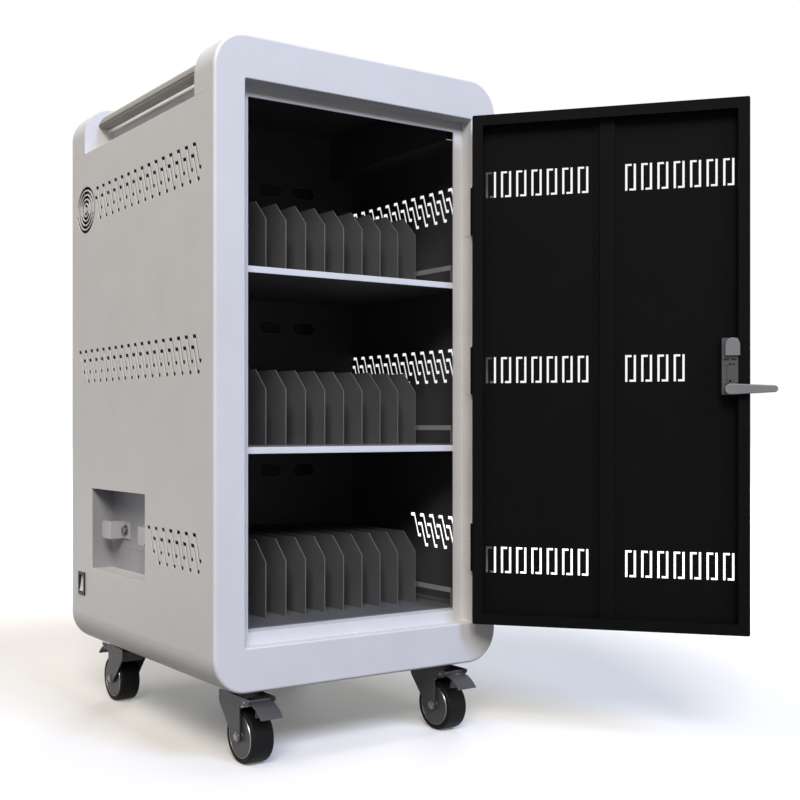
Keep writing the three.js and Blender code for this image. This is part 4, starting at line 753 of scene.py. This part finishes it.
def add_hinges(prefix, body, frame_place, door_place, leaf_finish, finish, nodes):
    """Three hinges: the leaf, the outer knuckles and the pin on the frame, the middle knuckle on the door."""
    half = HINGE_L / 2
    middle = KNUCKLE_L / 2
    for label, z in zip(LABELS, HINGE_ZS):
        bm = bmesh.new()
        leaf_plate(bm, 1, z)
        add_piece(bm, f"{prefix}_{label}_frame_leaf", leaf_finish, "cabinet",
                  [f"hinge_frame_leaf_{label}"] if nodes else (), frame_place)
        bm = bmesh.new()
        knuckle(bm, z - half, z - middle - HINGE_PLAY)
        knuckle(bm, z + middle + HINGE_PLAY, z + half)
        rod(bm, Vector((0, 0, z)), "z", HINGE_PIN_R, HINGE_L)
        add_piece(bm, f"{prefix}_{label}_frame_knuckles", finish, "cabinet", (), frame_place)
        bm = bmesh.new()
        leaf_plate(bm, -1, z)
        knuckle(bm, z - middle, z + middle)
        add_piece(bm, f"{prefix}_{label}_door_leaf", finish, body,
                  [f"hinge_door_leaf_{label}"] if nodes else (), door_place)


def add_front_door():
    holes = (door_vents(CELL_TOP, 0) + door_vents(DOOR_MID + CELL_H / 2, CELLS_LEFT_FOR_LOCK)
             + door_vents(CELL_LOW, 0))
    bm = bmesh.new()
    door_pan(bm, holes)
    add_piece(bm, "door_pan", BLACK_COAT, "front_door", ["door_panel"], FRONT_DOOR)
    add_piece(softened("door_stiffener", 1.2 * MM, 3), "door_stiffener_hat", BLACK_COAT, "front_door",
              ["door_stiffener"])
    add_hinges("hinge", "front_door", Matrix.Translation((HINGE.x, HINGE.y, 0)), FRONT_DOOR,
               GREY_COAT, BLACK_COAT, True)


def add_rear_door():
    bm = bmesh.new()
    door_pan(bm, door_vents(CELL_TOP, 0) + door_vents(CELL_LOW, 0))
    add_piece(bm, "rear_door_pan", GREY_COAT, "rear_door", ["rear_door"], REAR_DOOR)
    frame_place = Matrix.Rotation(math.pi, 4, "Z") @ Matrix.Translation((HINGE.x, HINGE.y, 0))
    add_hinges("rear_hinge", "rear_door", frame_place, REAR_DOOR, GREY_COAT, GREY_COAT, False)
    add_piece(softened("rear_door_lock", 0.6 * MM), "rear_cam_lock", BRIGHT_ZINC, "rear_lock", ["rear_door_lock"])


def lock_cover(bm):
    """The plate over the lock: two dashes and a screw hole punched in it, a boss, a long rib and two stays."""
    half = LOCK_W / 2
    low = LOCK_TOP - LOCK_H
    under_block = LOCK_TOP - BLOCK_H
    upper = under_block - BOSS_PITCH / 2
    lower = upper - BOSS_PITCH
    plate = filleted(rectangle(LOCK_X - half, low, LOCK_X + half, LOCK_TOP), 2 * MM)
    dash = 1.7 * MM
    dashes = [rectangle(LOCK_X + side * half * 0.46 - half * 0.32, under_block - 7 * MM - dash,
                        LOCK_X + side * half * 0.46 + half * 0.32, under_block - 7 * MM + dash)
              for side in (-1, 1)]
    holes = [circle(LOCK_X, upper, 2.6 * MM, 16), circle(LOCK_X - half * 0.46, upper, 2.2 * MM, 16),
             circle(LOCK_X, lower, 2.6 * MM, 16)]
    slab(bm, [plate, *dashes, *holes], "y", COVER_BACK, COVER_FACE)
    slab(bm, [circle(LOCK_X, lower, BOSS_R), holes[-1]], "y", COVER_FACE - HAIR, COVER_FACE + BOSS_T)
    rib_x = LOCK_X + half * 0.3
    thick = 1.5 * MM
    rib = [(rib_x, lower + BOSS_R), (rib_x + thick, lower + BOSS_R), (rib_x + thick, upper - thick),
           (rib_x + half * 0.45, upper - thick), (rib_x + half * 0.45, upper), (rib_x, upper)]
    slab(bm, [rib], "y", COVER_FACE - HAIR, COVER_FACE + BOSS_T / 2, edge=0.3 * MM)
    for angle in (35, 145, 215, 325):
        way = Vector((math.cos(math.radians(angle)), math.sin(math.radians(angle))))
        across = Vector((-way.y, way.x)) * thick / 2
        root = Vector((LOCK_X, lower)) + way * BOSS_R * 0.9
        tip = root + way * half * 0.36
        slab(bm, [[root - across, tip - across, tip + across, root + across]], "y", COVER_FACE - HAIR,
             COVER_FACE + BOSS_T / 2)


def add_lock():
    """The lock inside the front door: its case, a dark cover and a round-topped block."""
    add_piece(softened("lock_case", 0.6 * MM), "lock_case_body", BLACK_NYLON, "front_door", ["lock_case"])
    bm = bmesh.new()
    lock_cover(bm)
    add_piece(bm, "lock_cover_plate", DARK_ALLOY, "front_door", ["lock_cover"], FRONT_DOOR)
    bm = bmesh.new()
    half = BLOCK_W / 2
    middle = LOCK_X - BLOCK_OVER
    block = arc(middle, LOCK_TOP - half, half, 0, 180, 20)
    block += [(middle - half, LOCK_TOP - BLOCK_H), (middle + half, LOCK_TOP - BLOCK_H)]
    slab(bm, [block], "y", COVER_FACE - HAIR, COVER_FACE + BLOCK_T, edge=1.5 * MM, segments=3)
    add_piece(bm, "lock_block", CAST_ALLOY, "front_door", (), FRONT_DOOR)


def add_latch():
    """The tapered lever inside, and the handle, escutcheon and key outside."""
    face = COVER_FACE + LEVER_LIFT
    bm = bmesh.new()
    bar = arc(LOCK_X, LEVER_Z, LEVER_BOSS_R, -90, 90, 20)
    bar += arc(LOCK_X - LEVER_REACH + LEVER_TIP_R, LEVER_Z, LEVER_TIP_R, 90, 270, 16)
    slab(bm, [bar], "y", face, face + LEVER_T, edge=1.8 * MM, segments=4)
    rod(bm, Vector((LOCK_X, (COVER_FACE + face) / 2, LEVER_Z)), "y", LEVER_BOSS_R * 0.8, face - COVER_FACE)
    spindle_from = DOOR_OUTER - 28 * MM
    rod(bm, Vector((LOCK_X, (spindle_from + face) / 2, LEVER_Z)), "y", 6 * MM, face - spindle_from)
    add_piece(bm, "latch_lever_bar", CAST_ALLOY, "latch", ["latch_lever"], FRONT_DOOR)
    add_piece(softened("outer_handle", 2.5 * MM, 4), "outer_handle_grip", CAST_ALLOY, "latch", ["outer_handle"])
    add_piece(softened("outer_escutcheon", 1 * MM, 3), "outer_escutcheon_plate", CAST_ALLOY, "front_door",
              ["outer_escutcheon"])
    add_piece(softened("key_cylinder", 0.6 * MM), "key_cylinder_plug", BRIGHT_ZINC, "key", ["key_cylinder"])


# Casters


def wheel_halves(profile):
    """A wheel's profile of (radius, x) points on its one side, closed by its mirror image."""
    return profile + [(r, -x) for r, x in reversed(profile)]


def add_wheel(label, hub):
    tread_r = hub.z
    side = -WHEEL_HALF
    corner = tread_r - WHEEL_SHOULDER
    bm = bmesh.new()
    tread = [(HUB_R, side + 1.4 * MM), (HUB_R + 1.5 * MM, side + 0.5 * MM), (HUB_R + 3 * MM, side), (corner, side)]
    tread += [(corner + r, side - x) for r, x in arc(0, -WHEEL_SHOULDER, WHEEL_SHOULDER, 90, 0, 5)[1:]]
    turned(bm, wheel_halves(tread), hub, 72)
    add_piece(bm, f"wheel_tread_{label}", TREAD_RUBBER, f"wheel_{label}", [f"caster_wheel_{label}"])
    bm = bmesh.new()
    flat = side + 0.9 * MM
    hub_face = [(AXLE_R + 0.5 * MM, side), (11 * MM, side), (11.6 * MM, flat), (HUB_R - 4 * MM, flat),
                (HUB_R - 3.4 * MM, flat + 0.8 * MM), (HUB_R - 2.4 * MM, flat + 0.8 * MM), (HUB_R, side + 1.6 * MM)]
    turned(bm, wheel_halves(hub_face), hub, 72)
    add_piece(bm, f"wheel_hub_{label}", HUB_NYLON, f"wheel_{label}")
    bm = bmesh.new()
    for way in (-1, 1):
        bead = [(HUB_R - 2 * MM, way * (WHEEL_HALF - 1.8 * MM)), (HUB_R - 1.6 * MM, way * (WHEEL_HALF - 0.5 * MM)),
                (HUB_R - 0.6 * MM, way * (WHEEL_HALF - 0.4 * MM)), (HUB_R, way * (WHEEL_HALF - 1.4 * MM))]
        turned(bm, bead, hub, 72)
    add_piece(bm, f"wheel_rim_bead_{label}", BRIGHT_ZINC, f"wheel_{label}")


def add_fork(label, swivel, hub, pin, ahead):
    """The fork's two legs with their arms, its crown and bearing race, and its bright axle and nuts."""
    def out(points):
        return [(swivel.y + ahead * y, z, *rest) for y, z, *rest in points]

    trail = abs(hub.y - swivel.y)
    pin_y = -abs(pin.y - swivel.y)
    foot = LEG_FOOT
    leg = [
        (LEG_BACK, CROWN_TOP, 5 * MM), (pin_y - ARM_REACH, CROWN_TOP, 4 * MM), (pin_y - ARM_REACH, pin.z, 5 * MM),
        (pin_y - ARM_R / 2, pin.z - ARM_R, 8 * MM), (-trail - foot, pin.z - ARM_R, 9 * MM),
        (-trail - foot, hub.z - foot, 10 * MM), (-trail + foot * 0.8, hub.z - foot, 10 * MM),
        (LEG_KNEE_BACK - trail, hub.z + LEG_KNEE_RISE, 30 * MM), (LEG_BACK, CROWN_TOP - LEG_SKIRT, 16 * MM)]
    bm = bmesh.new()
    for side in (-1, 1):
        near, far = swivel.x + side * FORK_IN, swivel.x + side * (FORK_IN + FORK_T)
        slab(bm, [filleted(out(leg), 4 * MM, 8)], "x", near, far, edge=0.9 * MM)
    crown = rectangle(swivel.x - FORK_IN - HAIR, swivel.y - RACE_R, swivel.x + FORK_IN + HAIR, swivel.y + RACE_R)
    slab(bm, [crown], "z", CROWN_TOP - CROWN_T, CROWN_TOP, edge=1.5 * MM)
    back = sorted((swivel.y + ahead * BACK_PLATE_Y, swivel.y + ahead * (BACK_PLATE_Y + FORK_T)))
    plate = rectangle(swivel.x - FORK_IN - HAIR, CROWN_TOP - BACK_PLATE_H, swivel.x + FORK_IN + HAIR, CROWN_TOP - HAIR)
    slab(bm, [plate], "y", *back, edge=0.9 * MM)
    add_piece(bm, f"caster_fork_pressing_{label}", DIP_COAT, f"fork_{label}", [f"caster_fork_{label}"])
    bm = bmesh.new()
    reach = FORK_IN + FORK_T
    rod(bm, hub, "x", AXLE_R, 2 * reach)
    for side in (-1, 1):
        rod(bm, hub + Vector((side * (reach + 0.6 * MM), 0, 0)), "x", 8.5 * MM, 1.2 * MM, edge=0.4 * MM)
        rod(bm, hub + Vector((side * (reach + 2.4 * MM), 0, 0)), "x", 6.8 * MM, 2.6 * MM, edge=0.6 * MM, steps=6)
        rod(bm, hub + Vector((side * (reach + 3.2 * MM), 0, 0)), "x", 3.4 * MM, 1.6 * MM, edge=0.5 * MM, steps=16)
    rod(bm, Vector((swivel.x, swivel.y, CROWN_TOP - CROWN_T - 2.5 * MM)), "z", 8 * MM, 5 * MM, edge=1 * MM, steps=6)
    add_piece(bm, f"caster_axle_{label}", BRIGHT_ZINC, f"fork_{label}")


def add_pedal(label, swivel, hub, pin, ahead):
    """The brake pedal: a curved tread plate on a bright pin, with a shoe under it."""
    lean = 1 if ahead > 0 else -1
    middle = pin.z - PEDAL_R
    first, last = 90 - lean * 3.4, 90 + lean * 50.4
    plate = arc(pin.y, middle, PEDAL_R, first, last, 18) + arc(pin.y, middle, PEDAL_R - PEDAL_T, last, first, 18)
    half = FORK_IN - PEDAL_SIDE
    bm = bmesh.new()
    slab(bm, [plate], "x", swivel.x - half, swivel.x + half, edge=0.9 * MM)
    shoe_root = (pin.y - lean * 15.8 * MM, pin.z - 4 * MM)
    shoe_tip = (hub.y - lean * 39 * MM, hub.z + 40.2 * MM)
    thick = 2.5 * MM
    shoe = [(shoe_root[0] - thick, shoe_root[1]), (shoe_root[0] + thick, shoe_root[1]),
            (shoe_tip[0] + thick, shoe_tip[1]), (shoe_tip[0] - thick, shoe_tip[1])]
    slab(bm, [shoe], "x", swivel.x - 12 * MM, swivel.x + 12 * MM, edge=0.6 * MM)
    add_piece(bm, f"brake_pedal_pressing_{label}", DIP_COAT, f"pedal_{label}", [f"brake_pedal_{label}"])
    bm = bmesh.new()
    rod(bm, pin, "x", PEDAL_PIN_R, 2 * (FORK_IN + FORK_T) + 4 * MM, edge=0.8 * MM, steps=20)
    add_piece(bm, f"brake_pedal_pin_{label}", DIP_COAT, f"pedal_{label}",
              lining=BRIGHT_ZINC, lined=lambda face: abs(face.center.x - swivel.x) > FORK_IN)


def add_caster(label):
    swivel, hub, pin = (Vector(JOINTS[f"{kind}_{label}"]["pos_m"]) for kind in ("swivel", "roll", "brake"))
    ahead = 1 if hub.y < swivel.y else -1
    add_wheel(label, hub)
    add_fork(label, swivel, hub, pin, ahead)
    add_pedal(label, swivel, hub, pin, ahead)
    node = f"caster_plate_{label}"
    add_piece(softened(node, 0.8 * MM), f"caster_plate_pressing_{label}", DIP_COAT, "cabinet", [node])
    cup_from = CROWN_TOP + 1.2 * MM
    cup_to = Z_BOTTOM - 3 * MM
    bm = bmesh.new()
    rod(bm, Vector((swivel.x, swivel.y, (cup_from + cup_to) / 2)), "z", CUP_R, cup_to - cup_from, edge=1.5 * MM)
    add_piece(bm, f"caster_bearing_cup_{label}", DIP_COAT, "cabinet")


# Stage


def add_stage():
    """A pale floor that is white to the eye, keeps the shadow near the cart and fades out to the background."""
    bm = bmesh.new()
    bmesh.ops.create_grid(bm, x_segments=1, y_segments=1, size=30)
    mesh = bpy.data.meshes.new("floor")
    bm.to_mesh(mesh)
    bm.free()
    floor = bpy.data.objects.new("floor", mesh)
    bpy.context.scene.collection.objects.link(floor)
    material = bpy.data.materials.new("pale_floor")
    material.use_nodes = True
    tree = material.node_tree
    shader = tree.nodes["Principled BSDF"]
    shader.inputs["Roughness"].default_value = 0.9
    shader.inputs["Specular IOR Level"].default_value = 0.1
    path = add_node(tree, "ShaderNodeLightPath")
    seen = add_node(tree, "ShaderNodeMath", {"operation": "MAXIMUM"}, {
        0: path.outputs["Is Camera Ray"], 1: path.outputs["Is Glossy Ray"]})
    tone = add_node(tree, "ShaderNodeMix", {"data_type": "RGBA"}, {
        "Factor": seen.outputs["Value"], 6: linear("#3a3a3a"), 7: linear("#e0dfdc")})
    place = add_node(tree, "ShaderNodeTexCoord")
    away = add_node(tree, "ShaderNodeVectorMath", {"operation": "LENGTH"}, {0: place.outputs["Object"]})
    fade = add_node(tree, "ShaderNodeMapRange", {"interpolation_type": "SMOOTHSTEP"}, {
        "Value": away.outputs["Value"], "From Min": 1.0, "From Max": 2.6, "To Min": 0.12, "To Max": 1.0})
    lift = add_node(tree, "ShaderNodeMath", {"operation": "MULTIPLY"}, {
        0: seen.outputs["Value"], 1: fade.outputs["Result"]})
    shader.inputs["Emission Color"].default_value = (1, 1, 1, 1)
    tree.links.new(tone.outputs[2], shader.inputs["Base Color"])
    tree.links.new(lift.outputs["Value"], shader.inputs["Emission Strength"])
    mesh.materials.append(material)


def add_world():
    world = bpy.data.worlds.new("studio")
    world.use_nodes = True
    bpy.context.scene.world = world
    tree = world.node_tree
    path = add_node(tree, "ShaderNodeLightPath")
    straight = add_node(tree, "ShaderNodeMath", {"operation": "MAXIMUM"}, {
        0: path.outputs["Is Camera Ray"], 1: path.outputs["Is Transmission Ray"]})
    seen = add_node(tree, "ShaderNodeMath", {"operation": "MAXIMUM"}, {
        0: straight.outputs["Value"], 1: path.outputs["Is Glossy Ray"]})
    strength = add_node(tree, "ShaderNodeMapRange", inputs={
        "Value": seen.outputs["Value"], "To Min": 0.17, "To Max": 1.0})
    tree.nodes["Background"].inputs["Color"].default_value = (1, 1, 1, 1)
    tree.links.new(strength.outputs["Result"], tree.nodes["Background"].inputs["Strength"])


def add_light(name, place, target, size, watts, colour):
    lamp = bpy.data.lights.new(name, "AREA")
    lamp.shape = "RECTANGLE"
    lamp.size, lamp.size_y = size
    lamp.energy = watts
    lamp.color = linear(colour)[:3]
    light = bpy.data.objects.new(name, lamp)
    light.location = place
    light.rotation_euler = (Vector(target) - Vector(place)).to_track_quat("-Z", "Y").to_euler()
    bpy.context.scene.collection.objects.link(light)


def add_camera():
    lens = bpy.data.cameras.new("camera")
    lens.lens = 52.2
    lens.sensor_width = 36
    lens.shift_x = 0.125
    lens.shift_y = 0.0335
    camera = bpy.data.objects.new("camera", lens)
    camera.location = (-1.2917, -2.151, 0.6178)
    camera.rotation_euler = (math.radians(90), 0, math.radians(-32.27))
    bpy.context.scene.collection.objects.link(camera)
    bpy.context.scene.camera = camera


add_camera()
add_stage()
add_world()
add_light("key", (-5.6, -7.6, 7.4), (0, 0, 0.7), (4.4, 4.4), 1180, "#fff9f2")
add_light("front_fill", (1.0, -9.0, 8.2), (0, 0, 0.7), (3.6, 3.6), 860, "#bcd0ff")
add_light("side_fill", (-3.4, -0.6, 5.6), (-0.2, 0, 0.7), (2.4, 2.4), 75, "#ffedd6")
add_light("top", (0.3, -0.4, 6.0), (0.2, -0.2, 0), (1.8, 1.8), 50, "#ffffff")
add_light("back_fill", (7.0, 7.5, 2.4), (0, 0, 0.7), (4.4, 4.4), 520, "#ffffff")
add_frames()
add_side_panels()
add_base_and_top()
add_grips()
add_interior()
add_side_fittings()
add_front_door()
add_lock()
add_latch()
add_rear_door()
for corner in ("front_left", "front_right", "rear_left", "rear_right"):
    add_caster(corner)
bpy.context.scene.view_settings.view_transform = "Standard"
